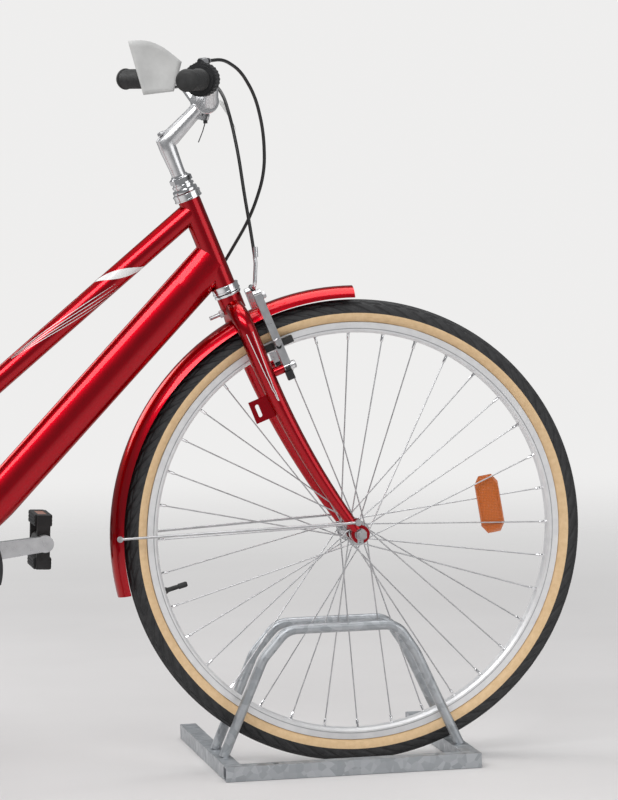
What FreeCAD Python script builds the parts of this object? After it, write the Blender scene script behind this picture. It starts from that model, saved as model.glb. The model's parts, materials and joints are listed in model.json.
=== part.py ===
"""City bicycle standing with its front wheel in a galvanised display stand.

Millimetres. X points forward, Y to the rider's left, Z up, with the floor at Z = 0.
Each sub-part is one STEP file in parts/. Like pieces of one body share a file.
"""
import FreeCAD, Part
import math
import os

from FreeCAD import Vector as V

# ---------------------------------------------------------------- driving dimensions
wheelbase = 1080.0
bottom_bracket_behind_front = 628.0   # from the front axle back to the crank axle
bottom_bracket_height = 325.0

# Wheels: 28 inch rims with 37 mm tyres
tyre_radius = 349.0
tyre_section_radius = 18.5
bead_half_width = 10.8
bead_inner_radius = 308.0
rim_half_width = 12.5
rim_outer_radius = 315.5
rim_inner_radius = 299.5
rim_bevel = 3.5
seat_gap = 0.1                        # between pieces that rest in each other
spokes_per_wheel = 36
spoke_radius = 1.0
spoke_cross_angle = 60.0              # three-cross lacing
spoke_end_offset = 2.0                # spokes enter the rim this far from its middle
spoke_gap = 0.3
spoke_flange_gap = 1.1
hub_cap = 6.0                         # the hub's barrel outside its flange
reflector_length = 88.0
reflector_width = 36.0
reflector_radius = 213.0              # from the axle to the reflector's middle
reflector_thickness = 6.0
front_reflector_at = 8.6              # degrees above straight ahead
rear_reflector_at = 68.6

front_axle_radius = 4.75
front_locknut_half_width = 50.0
front_flange_radius = 19.0
front_flange_offset = 33.0
front_hub_radius = 13.0
rear_axle_radius = 5.0
rear_locknut_half_width = 62.0
rear_flange_radius = 41.0
rear_flange_offset = 29.0
rear_hub_radius = 30.0
flange_thickness = 2.6
running_gap = 0.05                    # radial, shaft in its bearing
axle_nut_across_flats = 15.0
axle_nut_height = 8.0
dropout_thickness = 5.0
dropout_radius = 14.0
rear_dropout_radius = 16.0
dropout_slot_gap = 0.2
washer_thickness = 1.6
washer_radius = 9.0

# Steering
head_angle = 69.0
fork_rake = 40.0
head_tube_bottom = 419.0              # along the steering axis from the axle's foot
head_tube_length = 139.0
head_tube_radius = 16.8
steerer_radius = 12.7
steerer_clearance = 1.3
headset_cup_height = 11.0
headset_cup_radius = 20.5
headset_gap = 0.8                     # between the turning and the fixed races
crown_race_height = 5.0
locknut_stack_height = 27.0
locknut_radius = 18.5

# Fork
blade_spacing = 45.0                  # half the distance between the blades
blade_top_radius = 14.0
blade_tip_radius = 7.5
blade_bend_start = 300.0              # along the steering axis
crown_drop = 36.0                     # from the crown race down to the full blade width
eyelet_height = 19.0
lamp_tab_height = 231.0               # along the steering axis, on the right blade
lamp_tab_root = 6.0                   # behind the blade's middle
lamp_tab_reach = 34.0
lamp_tab_tall = 34.0
lamp_tab_thickness = 3.5
lamp_slot_reach = 24.0
lamp_slot_length = 14.0
lamp_slot_radius = 3.0
front_eyelet_offset = 62.5            # outer face of the boss that takes a mudguard stay

# Stem and handlebar
quill_radius = 11.1
quill_depth = 70.0
stem_elbow = 648.0                    # along the steering axis
stem_reach_x = 60.0
stem_reach_z = 60.0
stem_arm_radius = 13.0
bar_clamp_length = 44.0
bar_clamp_wall = 5.5
bar_centre_radius = 12.7
bar_radius = 11.1
bar_sleeve_half_length = 36.0
bar_straight_half = 55.0
bar_rise = 34.0
bar_rise_back = 12.0
bar_rise_half_width = 128.0
bar_half_width = 290.0
bar_sweep_back = 62.0
bar_bend_radius = 45.0
grip_radius = 15.0
grip_end_cap = 4.0
right_grip_length = 86.0
left_grip_length = 122.0
shifter_length = 40.0
shifter_radius = 24.0
shifter_gap = 1.0

# Mudguards
mudguard_radius = 370.0
mudguard_half_width = 27.5
mudguard_depth = 17.0
mudguard_wall = 1.6
front_mudguard_start = 89.0           # degrees, from straight ahead and over the top
front_mudguard_end = 193.0
rear_mudguard_start = 1.5
rear_mudguard_end = 198.0
stay_radius = 2.0
stay_gap = 0.3

# Rim brake
brake_boss_height = 274.0             # along the steering axis
brake_boss_half_spacing = 40.0
brake_boss_radius = 7.0
brake_stud_reach = 46.0               # from the blade's middle to the pivot bolt's head
brake_arm_front = 42.0
brake_arm_thickness = 12.0
brake_arm_length = 118.0
brake_arm_top_half_spacing = 33.0
brake_arm_tip_radius = 5.5
brake_shoe_gap = 2.0
brake_shoe_length = 54.0
brake_shoe_height = 10.0
brake_shoe_depth = 11.0

# Frame tubes
top_tube_radius = 16.0
top_tube_start = 541.0                # along the steering axis, at its middle
top_tube_meets_seat_tube = 158.0      # along the seat tube from the crank axle
down_tube_start = 461.0
down_tube_half_depth = 31.0
down_tube_half_width = 21.0
down_tube_neck = 62.0
down_tube_taper = 130.0
seat_angle = 71.0
seat_tube_radius = 16.0
seat_tube_bore = 13.65
seat_tube_length = 445.0
seat_post_radius = 13.6
seat_post_insertion = 110.0
seat_clamp_height = 16.0
seat_clamp_wall = 4.5
saddle_front = 148.0                  # ahead of the top of the seat post
saddle_rail_spacing = 22.0            # half the distance between the rails
saddle_height = 968.0
saddle_length = 262.0
saddle_depth = 50.0
saddle_rail_radius = 3.5
saddle_rail_rear_rise = 20.0
saddle_rail_front_rise = 29.0
saddle_rail_height = saddle_height - saddle_depth - saddle_rail_rear_rise - saddle_rail_radius - 0.5
bottom_bracket_radius = 21.0
bottom_bracket_half_width = 35.0
crank_axle_radius = 8.5
chain_stay_radius = 9.5
chain_stay_root_half_spacing = 24.0
chain_stay_bend_back = 88.0
chain_stay_bend_out = 3.0
chain_stay_bend_up = 4.0
chain_stay_bend_radius = 200.0
seat_stay_radius = 8.0
seat_stay_top = 395.0                 # along the seat tube from the crank axle
seat_stay_half_spacing = 38.0
stay_bridge_radius = 6.0

# Drive
crank_length = 170.0
left_crank_rise_angle = 6.0           # the left crank points forward and this far up
crank_inner_offset = 62.0
crank_thickness = 13.0
crank_boss_radius = 17.0
crank_tip_radius = 13.0
crank_root_half_width = 15.0
chain_line = 44.0
chain_pitch = 12.7
chainring_teeth = 38
sprocket_teeth = 18
chain_half_height = 4.2
chain_half_width = 4.0
chain_gap = 0.4
chainring_thickness = 3.0
chainring_band = 14.0                 # from the teeth's root inward
spider_arms = 5
spider_arm_width = 12.0
spider_seat_radius = 19.0
guard_outer_offset = 55.0
guard_inner_offset = 33.0
guard_wall = 1.5
guard_clearance = 12.0
guard_skirt = 24.0
pedal_axle_radius = 4.5
pedal_axle_reach = 104.0
pedal_width = 88.0
pedal_inner_gap = 9.0
pedal_length = 82.0
pedal_thickness = 26.0
pedal_tread_width = 17.0
pedal_core_radius = 9.0
pedal_plate = 6.0
pedal_reflector_length = 48.0
pedal_reflector_depth = 4.0
pedal_tilt = 3.0                      # degrees from upright at rest
pedal_bore_gap = 0.06

# Kick stand
kickstand_mount_ahead = 72.0          # along the left chain stay from its rear end
kickstand_length = 306.0
kickstand_leg_radius = 8.0
kickstand_foot_radius = 11.0
kickstand_foot_length = 14.0
kickstand_bend_at = 60.0
kickstand_bend_out = 6.0
kickstand_bend_radius = 120.0
kickstand_pivot_radius = 5.0
kickstand_pivot_drop = 24.0           # below the chain stay's middle
kickstand_pivot_out = 22.0            # outside the chain stay's middle
kickstand_clamp_wall = 5.0
kickstand_clamp_length = 28.0
kickstand_arm_radius = 8.0
kickstand_hub_radius = 11.0
kickstand_hub_gap = 8.0
kickstand_hub_length = 24.0

# Gear cable and brake cable
housing_radius = 2.5
cable_under_shell = 7.0               # room under the bottom bracket, where the cable turns
cable_beside_tube = 0.6
cable_below_stay = 0.8
noodle_radius = 2.9

# Display stand
rail_width = 25.0
rail_height = 22.0
rail_wall = 2.0
stand_front_x = 161.0                 # outer faces, from the front axle
stand_rear_x = -226.0
stand_near_y = -130.0
stand_far_y = 288.0
hoop_tube_radius = 7.5
hoop_half_spacing = 38.0
hoop_height = 209.0
hoop_rear_shoulder_x = -150.0
hoop_front_shoulder_x = 84.0
hoop_shoulder_z = 166.0
hoop_rear_top_x = -112.0
hoop_front_top_x = 56.0
hoop_bend_radius = 34.0
stand_hole_radius = 4.5
stand_hole_front_x = 96.0
stand_hole_rear_x = -149.0

# ---------------------------------------------------------------- places worked out
front_axle_x = (wheelbase + mudguard_radius - tyre_radius) / 2.0
rear_axle_x = front_axle_x - wheelbase
front_axle = V(front_axle_x, 0, tyre_radius)
rear_axle = V(rear_axle_x, 0, tyre_radius)
crank_axle = V(front_axle_x - bottom_bracket_behind_front, 0, bottom_bracket_height)

head_radians = math.radians(head_angle)
up_axis = V(-math.cos(head_radians), 0, math.sin(head_radians))
ahead_axis = V(math.sin(head_radians), 0, math.cos(head_radians))
left_axis = V(0, 1, 0)
steering_foot = front_axle - ahead_axis * fork_rake
head_tube_top = head_tube_bottom + head_tube_length
crown_race_top = head_tube_bottom - headset_cup_height - headset_gap
crown_top = crown_race_top - crown_race_height
locknut_base = head_tube_top + headset_cup_height + headset_gap

seat_radians = math.radians(seat_angle)
seat_axis = V(-math.cos(seat_radians), 0, math.sin(seat_radians))
chainring_radius = chain_pitch / (2 * math.sin(math.pi / chainring_teeth))
sprocket_radius = chain_pitch / (2 * math.sin(math.pi / sprocket_teeth))

PARTS = {}


# ---------------------------------------------------------------- helpers
def keep(name, *solids):
    """Store one node: a single solid, or several that do not touch."""
    PARTS[name] = solids[0] if len(solids) == 1 else Part.makeCompound(list(solids))


def steer(along, ahead=0.0, left=0.0):
    """A point given along the steering axis, ahead of it and to the left."""
    return steering_foot + up_axis * along + ahead_axis * ahead + left_axis * left


def from_front(x, y, z):
    """A point given from the floor under the front axle."""
    return V(front_axle_x + x, y, z)


def on_seat_tube(along, left=0.0):
    return crank_axle + seat_axis * along + left_axis * left


def rod(start, end, radius):
    return Part.makeCylinder(radius, (end - start).Length, start, end - start)


def ring(start, end, outer, inner):
    return rod(start, end, outer).cut(rod(start, end, inner))


def fuse(first, *others):
    return first.fuse(list(others)).removeSplitter()


def bent_path(points, radii):
    """Straight runs joined by tangent arcs, one radius for each inner point."""
    edges = []
    start = points[0]
    for before, corner, after, radius in zip(points, points[1:], points[2:], radii):
        back = (before - corner).normalize()
        on = (after - corner).normalize()
        half_turn = (math.pi - back.getAngle(on)) / 2.0
        reach = radius * math.tan(half_turn)
        bisector = (back + on).normalize()
        centre = corner + bisector * (radius / math.cos(half_turn))
        enter = corner + back * reach
        leave = corner + on * reach
        edges.append(Part.LineSegment(start, enter).toShape())
        edges.append(Part.Arc(enter, centre - bisector * radius, leave).toShape())
        start = leave
    edges.append(Part.LineSegment(start, points[-1]).toShape())
    return Part.Wire(edges)


def widest_radii(points):
    """Each arc's radius: 0.45 of the shorter run over the tangent of half the turn."""
    radii = []
    for before, corner, after in zip(points, points[1:], points[2:]):
        shorter = min((corner - before).Length, (after - corner).Length)
        turn = (corner - before).getAngle(after - corner)
        radii.append(0.45 * shorter / math.tan(turn / 2.0))
    return radii


def swept_rod(path, radius):
    edge = path.Edges[0]
    start = edge.valueAt(edge.FirstParameter)
    direction = edge.tangentAt(edge.FirstParameter)
    circle = Part.Wire(Part.makeCircle(radius, start, direction))
    return path.makePipeShell([circle], True, False)


def bent_rod(points, radii, radius):
    return swept_rod(bent_path(points, radii), radius)


def tapered_tube(stations):
    """A solid lofted through circles: (centre, direction, radius) for each."""
    wires = [Part.Wire(Part.makeCircle(radius, centre, along)) for centre, along, radius in stations]
    return Part.makeLoft(wires, True)


def ring_of_profile(centre, points):
    """Turn a closed (radius, y) outline about a wheel's axle."""
    corners = [centre + V(radius, y, 0) for radius, y in points]
    face = Part.Face(Part.makePolygon(corners + corners[:1]))
    return face.revolve(centre, V(0, 1, 0), 360)


def box_between(low, high):
    return Part.makeBox(high.x - low.x, high.y - low.y, high.z - low.z, low)


def hexagon(start, direction, across_flats, height):
    """A hexagonal nut blank; direction is along Y or the steering axis."""
    corner_radius = across_flats / math.sqrt(3.0)
    side = direction.cross(V(1, 0, 0))
    if side.Length < 0.1:
        side = direction.cross(V(0, 0, 1))
    side = side.normalize()
    other = direction.cross(side).normalize()
    corners = []
    for index in range(6):
        angle = math.radians(60 * index)
        corners.append(start + side * (corner_radius * math.cos(angle))
                       + other * (corner_radius * math.sin(angle)))
    face = Part.Face(Part.makePolygon(corners + corners[:1]))
    return face.extrude(direction * height)


def slide_to_seat(shape, seat, direction, gap):
    """Move a piece along a direction until it lies a small gap from its seat."""
    for _ in range(12):
        shape.translate(direction * (shape.distToShape(seat)[0] - gap))


def wheel_point(axle, radius, degrees, y=0.0):
    """A point in a wheel's plane, counted from straight ahead and over the top."""
    angle = math.radians(degrees)
    return axle + V(radius * math.cos(angle), y, radius * math.sin(angle))


# ---------------------------------------------------------------- wheels
def make_tyre(axle):
    centre_radius = tyre_radius - tyre_section_radius
    shoulder = centre_radius - math.sqrt(tyre_section_radius ** 2 - bead_half_width ** 2)
    low_right = axle + V(bead_inner_radius, -bead_half_width, 0)
    high_right = axle + V(shoulder, -bead_half_width, 0)
    crest = axle + V(tyre_radius, 0, 0)
    high_left = axle + V(shoulder, bead_half_width, 0)
    low_left = axle + V(bead_inner_radius, bead_half_width, 0)
    outline = Part.Wire([
        Part.LineSegment(low_right, high_right).toShape(),
        Part.Arc(high_right, crest, high_left).toShape(),
        Part.LineSegment(high_left, low_left).toShape(),
        Part.LineSegment(low_left, low_right).toShape(),
    ])
    return Part.Face(outline).revolve(axle, V(0, 1, 0), 360)


def make_rim(axle):
    well_radius = bead_inner_radius - seat_gap
    well_half_width = bead_half_width + seat_gap
    right_side = [
        (well_radius, -well_half_width), (rim_outer_radius, -well_half_width),
        (rim_outer_radius, -rim_half_width), (rim_inner_radius + rim_bevel, -rim_half_width),
        (rim_inner_radius, -rim_half_width + rim_bevel),
    ]
    left_side = [(radius, -y) for radius, y in reversed(right_side)]
    return ring_of_profile(axle, right_side + left_side)


def make_hub(axle, barrel_radius, flange_radius, flange_offset, half_length, bore_radius):
    half_flange = flange_thickness / 2.0
    parts = [rod(axle - left_axis * half_length, axle + left_axis * half_length, barrel_radius)]
    for side in (-1, 1):
        middle = axle + left_axis * (side * flange_offset)
        parts.append(rod(middle - left_axis * half_flange, middle + left_axis * half_flange,
                         flange_radius))
    hub = fuse(*parts)
    return hub.cut(rod(axle - left_axis * half_length, axle + left_axis * half_length, bore_radius))


def make_spokes(axle, flange_radius, flange_offset):
    """Crossed spokes: half of each side lie outside their flange, half inside."""
    spokes = []
    pairs_per_side = spokes_per_wheel // 4
    step = 360.0 / pairs_per_side
    lie = flange_thickness / 2.0 + spoke_radius + spoke_flange_gap
    hole_radius = flange_radius - 4.0
    rim_radius = rim_inner_radius - spoke_gap
    for side in (-1, 1):
        side_turn = step / 4.0 if side > 0 else 0.0
        for index in range(pairs_per_side):
            for lead in (-1, 1):
                hub_angle = step * index + side_turn + (step / 2.0 if lead < 0 else 0.0)
                hub_y = side * (flange_offset + lead * lie)
                start = wheel_point(axle, hole_radius, hub_angle, hub_y)
                end = wheel_point(axle, rim_radius, hub_angle + lead * spoke_cross_angle,
                                  side * spoke_end_offset)
                spokes.append(rod(start, end, spoke_radius))
    return spokes


def make_spoke_reflector(axle, degrees, middle_radius, length, width, thickness):
    """An oval prismatic plate held between the spokes."""
    half_straight = (length - width) / 2.0
    middle = axle + V(middle_radius, 0, 0)
    low = middle - left_axis * (thickness / 2.0)
    ends = [rod(low + V(0, 0, side * half_straight), low + V(0, thickness, side * half_straight),
                width / 2.0) for side in (-1, 1)]
    block = box_between(low + V(-width / 2.0, 0, -half_straight),
                        low + V(width / 2.0, thickness, half_straight))
    reflector = fuse(block, *ends)
    reflector.rotate(axle, V(0, -1, 0), degrees)
    return reflector


def make_wheels():
    keep("front_tyre", make_tyre(front_axle))
    keep("front_rim", make_rim(front_axle))
    keep("front_hub", make_hub(front_axle, front_hub_radius, front_flange_radius,
                               front_flange_offset, front_flange_offset + hub_cap,
                               front_axle_radius + running_gap))
    keep("front_spokes", *make_spokes(front_axle, front_flange_radius, front_flange_offset))
    keep("rear_tyre", make_tyre(rear_axle))
    keep("rear_rim", make_rim(rear_axle))
    keep("rear_hub", make_hub(rear_axle, rear_hub_radius, rear_flange_radius,
                              rear_flange_offset, rear_flange_offset + hub_cap,
                              rear_axle_radius + running_gap))
    keep("rear_spokes", *make_spokes(rear_axle, rear_flange_radius, rear_flange_offset))
    for name, axle, degrees in (("front", front_axle, front_reflector_at),
                                ("rear", rear_axle, rear_reflector_at)):
        reflector = make_spoke_reflector(axle, degrees, reflector_radius, reflector_length,
                                         reflector_width, reflector_thickness)
        slide_to_seat(reflector, PARTS[name + "_spokes"], left_axis * -1.0, spoke_gap)
        keep(name + "_wheel_reflector", reflector)


# ---------------------------------------------------------------- fork and steering
def blade_stations(side):
    """The blade runs down its axis, then bends forward in one arc to the dropout."""
    start = steer(blade_bend_start, 0.0, side * blade_spacing)
    tip_y = side * (front_locknut_half_width + dropout_thickness / 2.0)
    tip = V(front_axle.x, tip_y, front_axle.z)
    chord = V(tip.x - start.x, 0, tip.z - start.z)
    heading = math.atan2(-up_axis.z, -up_axis.x)
    half_turn = math.atan2(chord.z, chord.x) - heading
    arc_radius = chord.Length / (2.0 * math.sin(half_turn))
    stations = []
    count = 7
    for index in range(count + 1):
        share = index / count
        turn = heading + 2.0 * half_turn * share
        x = start.x + arc_radius * (math.sin(turn) - math.sin(heading))
        z = start.z - arc_radius * (math.cos(turn) - math.cos(heading))
        y = start.y + (tip_y - start.y) * share
        radius = blade_top_radius + (blade_tip_radius - blade_top_radius) * share
        stations.append((V(x, y, z), V(math.cos(turn), 0, math.sin(turn)), radius))
    return stations


def make_fork():
    pieces = []
    collar_top = steer(crown_top)
    pieces.append(rod(steer(crown_top - 24.0), collar_top, head_tube_radius + 1.5))
    shoulder = crown_top - crown_drop
    for side in (-1, 1):
        tip_y = side * front_locknut_half_width
        stations = blade_stations(side)
        pieces.append(tapered_tube(stations[:-1] + [
            (stations[-1][0] - stations[-1][1] * (dropout_radius * 0.6), stations[-1][1],
             blade_tip_radius)]))
        crown_path = bent_path(
            [steer(crown_top - 15.0, 0.0, 0.0), steer(shoulder, 0.0, side * blade_spacing),
             steer(blade_bend_start, 0.0, side * blade_spacing)], [34.0])
        pieces.append(swept_rod(crown_path, blade_top_radius))
        inner = V(front_axle.x, tip_y, front_axle.z)
        outer = V(front_axle.x, tip_y + side * dropout_thickness, front_axle.z)
        pieces.append(rod(inner, outer, dropout_radius))
        eyelet = V(-5.0, 0, eyelet_height)
        eyelet_face = V(outer.x, side * front_eyelet_offset, outer.z)
        pieces.append(rod(inner + eyelet, eyelet_face + eyelet, 5.5))
        boss_foot = steer(brake_boss_height, 6.0, side * brake_boss_half_spacing)
        boss_end = steer(brake_boss_height, brake_arm_front - brake_arm_thickness - 0.3,
                         side * brake_boss_half_spacing)
        pieces.append(rod(boss_foot, boss_end, brake_boss_radius))
    pieces.append(make_lamp_tab())
    fork = fuse(*pieces)
    half_slot = front_axle_radius + dropout_slot_gap
    reach = dropout_radius + 10.0
    for side in (-1, 1):
        low_y = min(side * (front_locknut_half_width - 3.0), side * (front_locknut_half_width + 13.0))
        slot = box_between(V(front_axle.x - half_slot, low_y, front_axle.z - reach),
                           V(front_axle.x + half_slot, low_y + 16.0, front_axle.z))
        slot = slot.fuse(rod(V(front_axle.x, low_y, front_axle.z),
                             V(front_axle.x, low_y + 16.0, front_axle.z), half_slot))
        fork = fork.cut(slot)
        out = left_axis * side
        for near, far in ((front_locknut_half_width - 16.0, front_locknut_half_width),
                          (front_locknut_half_width + dropout_thickness,
                           front_locknut_half_width + dropout_thickness + 18.0)):
            fork = fork.cut(rod(front_axle + out * near, front_axle + out * far,
                                washer_radius + dropout_slot_gap))
    steerer = rod(steer(crown_top - 2.0), steer(locknut_base), steerer_radius)
    bore = rod(steer(head_tube_bottom), steer(locknut_base + 1.0), quill_radius)
    fork = fuse(fork, steerer.cut(bore))
    keep("fork", fork)


def make_lamp_tab():
    """The slotted lug behind the right blade that takes a lamp or dynamo."""
    base = steer(lamp_tab_height, -lamp_tab_root, -blade_spacing)
    half_wall = lamp_tab_thickness / 2.0
    half_tall = lamp_tab_tall / 2.0
    half_slot = lamp_slot_length / 2.0
    tab = box_between(V(-lamp_tab_reach, -half_wall, -half_tall), V(0.0, half_wall, half_tall))
    slot = box_between(V(-lamp_slot_reach - lamp_slot_radius, -lamp_tab_thickness, -half_slot),
                       V(-lamp_slot_reach + lamp_slot_radius, lamp_tab_thickness, half_slot))
    for z in (-half_slot, half_slot):
        slot = slot.fuse(rod(V(-lamp_slot_reach, -lamp_tab_thickness, z),
                             V(-lamp_slot_reach, lamp_tab_thickness, z), lamp_slot_radius))
    tab = tab.cut(slot)
    tab.rotate(V(0, 0, 0), V(0, 1, 0), head_angle - 90.0)
    tab.translate(base)
    return tab


def make_headset():
    lower_cup = ring(steer(head_tube_bottom - headset_cup_height), steer(head_tube_bottom),
                     headset_cup_radius, steerer_radius + steerer_clearance)
    upper_cup = ring(steer(head_tube_top), steer(head_tube_top + headset_cup_height),
                     headset_cup_radius, steerer_radius + steerer_clearance)
    keep("headset_cups", lower_cup, upper_cup)
    crown_race = ring(steer(crown_top), steer(crown_race_top), headset_cup_radius, steerer_radius)
    cone_height = 11.0
    cone = ring(steer(locknut_base), steer(locknut_base + cone_height), locknut_radius, quill_radius)
    spacer = ring(steer(locknut_base + cone_height),
                  steer(locknut_base + cone_height + 3.0), locknut_radius - 2.0, quill_radius)
    nut_height = locknut_stack_height - cone_height - 3.0
    nut = hexagon(steer(locknut_base + cone_height + 3.0), up_axis, 2 * locknut_radius - 4.0,
                  nut_height)
    nut = nut.cut(rod(steer(locknut_base), steer(locknut_base + locknut_stack_height + 1.0),
                      quill_radius))
    stack = fuse(cone, spacer, nut)
    keep("headset_nuts", crown_race, stack)


# ---------------------------------------------------------------- stem, bar and controls
def bar_clamp_centre():
    return steer(stem_elbow) + V(stem_reach_x, 0, stem_reach_z)


def bar_points(side):
    clamp = bar_clamp_centre()
    return [
        clamp,
        clamp + left_axis * (side * bar_straight_half),
        clamp + V(-bar_rise_back, side * bar_rise_half_width, bar_rise),
        clamp + V(-bar_rise_back - bar_sweep_back, side * bar_half_width, bar_rise),
    ]


def bar_end_frame(side):
    """The end of the bar and the direction back along its grip."""
    points = bar_points(side)
    return points[3], (points[2] - points[3]).normalize()


def make_stem():
    clamp = bar_clamp_centre()
    elbow = steer(stem_elbow)
    quill_low = steer(locknut_base + locknut_stack_height - quill_depth)
    lower_arm = swept_rod(bent_path([quill_low, elbow, clamp], [16.0]), quill_radius - seat_gap)
    boss = rod(steer(stem_elbow - 22.0), steer(stem_elbow + 9.0), stem_arm_radius + 1.0)
    arm = tapered_tube([
        (elbow, clamp - elbow, stem_arm_radius + 1.0),
        (elbow + (clamp - elbow) * 0.55, clamp - elbow, stem_arm_radius - 1.0),
        (clamp, clamp - elbow, stem_arm_radius + 0.5)])
    half = bar_clamp_length / 2.0
    barrel = rod(clamp - left_axis * half, clamp + left_axis * half,
                 bar_centre_radius + bar_clamp_wall)
    stem = fuse(lower_arm, boss, arm, barrel)
    stem = stem.cut(rod(clamp - left_axis * (half + 5.0), clamp + left_axis * (half + 5.0),
                        bar_centre_radius + seat_gap))
    keep("stem", stem)


def make_handlebar():
    halves = []
    for side in (-1, 1):
        halves.append(bent_rod(bar_points(side), [bar_bend_radius, bar_bend_radius], bar_radius))
    clamp = bar_clamp_centre()
    sleeve = rod(clamp - left_axis * bar_sleeve_half_length,
                 clamp + left_axis * bar_sleeve_half_length, bar_centre_radius)
    keep("handlebar", fuse(sleeve, *halves))


def make_grips():
    grips = []
    for side, length in ((-1, right_grip_length), (1, left_grip_length)):
        end, inward = bar_end_frame(side)
        sleeve = rod(end - inward * grip_end_cap, end + inward * length, grip_radius)
        flare = rod(end - inward * grip_end_cap, end + inward * 3.0, grip_radius + 1.5)
        grips.append(fuse(sleeve, flare).cut(rod(end, end + inward * (length + 1.0), bar_radius)))
    keep("grips", *grips)


def shifter_frame():
    end, inward = bar_end_frame(-1)
    return end + inward * (right_grip_length + shifter_gap), inward


def make_gear_shifter():
    start, inward = shifter_frame()
    collar = rod(start, start + inward * shifter_length, shifter_radius - 3.0)
    drum = rod(start + inward * 5.0, start + inward * (shifter_length - 6.0), shifter_radius)
    cable_start, next_point = gear_cable_points()[:2]
    along = (next_point - cable_start).normalize()
    snout_foot = cable_start - along * 22.0
    snout = rod(snout_foot, cable_start, 4.5)
    neck = rod(start + inward * (shifter_length * 0.6), snout_foot, 6.5)
    shifter = fuse(collar, drum, snout, neck)
    shifter = shifter.cut(rod(start - inward, start + inward * (shifter_length + 1.0), bar_radius))
    keep("gear_shifter", shifter)


def lever_frame():
    end, inward = bar_end_frame(1)
    return end + inward * (left_grip_length + 14.0), inward


def make_brake_lever():
    """Left lever: clamp ring, cable housing body and a long blade ahead of the grip."""
    centre, inward = lever_frame()
    forward = left_axis.cross(V(0, 0, 1))
    ahead = (forward - inward * forward.dot(inward)).normalize()
    ring_piece = rod(centre - inward * 8.0, centre + inward * 8.0, bar_radius + 4.0)
    pivot = centre + ahead * 27.0 - V(0, 0, 7.0)
    body = rod(centre + ahead * 8.0, pivot, 8.0)
    cable_start, next_point = brake_cable_points()[:2]
    barrel_foot = cable_start - (next_point - cable_start).normalize() * 16.0
    barrel = fuse(rod(barrel_foot, cable_start, 4.5), rod(pivot, barrel_foot, 6.0))
    perch = fuse(ring_piece, body, barrel)
    perch = perch.cut(rod(centre - inward * 12.0, centre + inward * 12.0, bar_radius))
    keep("brake_lever_perch", perch)
    blade_points = [
        pivot - inward * 9.0,
        pivot - inward * 34.0 + ahead * 15.0 - V(0, 0, 3.0),
        pivot - inward * 84.0 + ahead * 20.0 - V(0, 0, 6.0),
        pivot - inward * 126.0 + ahead * 12.0 - V(0, 0, 8.0),
    ]
    blade = bent_rod(blade_points, [28.0, 60.0], 4.6)
    keep("brake_lever", blade)


def brake_cable_points():
    """The housing from the left lever, round the front of the stem, down to the noodle."""
    return [
        from_front(-196.0, 138.0, 1030.0),
        from_front(-183.0, 96.0, 1030.0),
        from_front(-172.0, 55.0, 1010.0),
        from_front(-166.0, 22.0, 968.0),
        from_front(-160.0, 3.0, 918.0),
        from_front(-155.0, -11.0, 858.0),
        from_front(-149.0, -22.0, 806.0),
        from_front(-145.5, -30.0, 768.0),
    ]


def gear_cable_points():
    """The housing from the twist shifter, forward in a wide bow, back to the head tube."""
    return [
        from_front(-232.0, -168.0, 1060.0),
        from_front(-204.0, -136.0, 1062.0),
        from_front(-172.0, -98.0, 1045.0),
        from_front(-144.0, -62.0, 1006.0),
        from_front(-127.0, -30.0, 952.0),
        from_front(-123.0, -8.0, 890.0),
        from_front(-143.0, 8.0, 826.0),
        from_front(-179.0, 20.0, 765.0),
        from_front(-200.0, 27.0, 729.0),
    ]


def gear_cable_split():
    """The plane square to the steering axis where the turning cable meets the fixed one."""
    return gear_cable_points()[7]


def half_space(point, normal, size=400.0):
    face = Part.Face(Part.Wire(Part.makeCircle(size, point, normal)))
    return face.extrude(normal * size)


def lower_gear_cable_points():
    """Along the left of the down tube, under the crank axle and along the right chain stay."""
    down_start, down_end = down_tube_ends()
    along = (down_end - down_start).normalize()
    below_tube = along.cross(left_axis).normalize()
    beside = down_tube_half_width + housing_radius + cable_beside_tube
    under = bottom_bracket_radius + housing_radius + cable_under_shell
    stay_start, stay_end = chain_stay_ends(-1)
    below_stay = V(0, 0, -(chain_stay_radius + housing_radius + cable_below_stay))
    return gear_cable_points()[7:] + [
        down_start + along * 110.0 + left_axis * beside,
        down_start + along * 455.0 + left_axis * beside,
        down_start + along * 538.0 + below_tube * 24.0 + left_axis * (beside - 4.0),
        crank_axle + V(6.0, 12.0, -under),
        crank_axle + V(-26.0, -17.0, -under),
        crank_axle + V(-78.0, -29.0, -under + 3.0),
        stay_start + (stay_end - stay_start) * 0.34 + below_stay,
        stay_start + (stay_end - stay_start) * 0.86 + below_stay,
    ]


def make_cables():
    brake_points = brake_cable_points()
    keep("front_brake_cable", bent_rod(brake_points, widest_radii(brake_points), housing_radius))
    upper = gear_cable_points()
    whole = bent_rod(upper, widest_radii(upper), housing_radius)
    below = half_space(gear_cable_split(), up_axis * -1.0)
    keep("gear_cable", whole.cut(below))
    lower = lower_gear_cable_points()
    start = gear_cable_points()[6]
    lower_whole = bent_rod([start] + lower, widest_radii([start] + lower), housing_radius)
    above = half_space(gear_cable_split(), up_axis)
    keep("frame_gear_cable", lower_whole.cut(above))
    for name, points in (("front brake cable", brake_points), ("gear cable", upper),
                         ("frame gear cable", [start] + lower)):
        print(name, "arc radii", [round(radius) for radius in widest_radii(points)])


# ---------------------------------------------------------------- front brake
def brake_arm_top(side):
    return steer(brake_boss_height + brake_arm_length, brake_arm_front - brake_arm_thickness / 2.0,
                 side * brake_arm_top_half_spacing)


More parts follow.
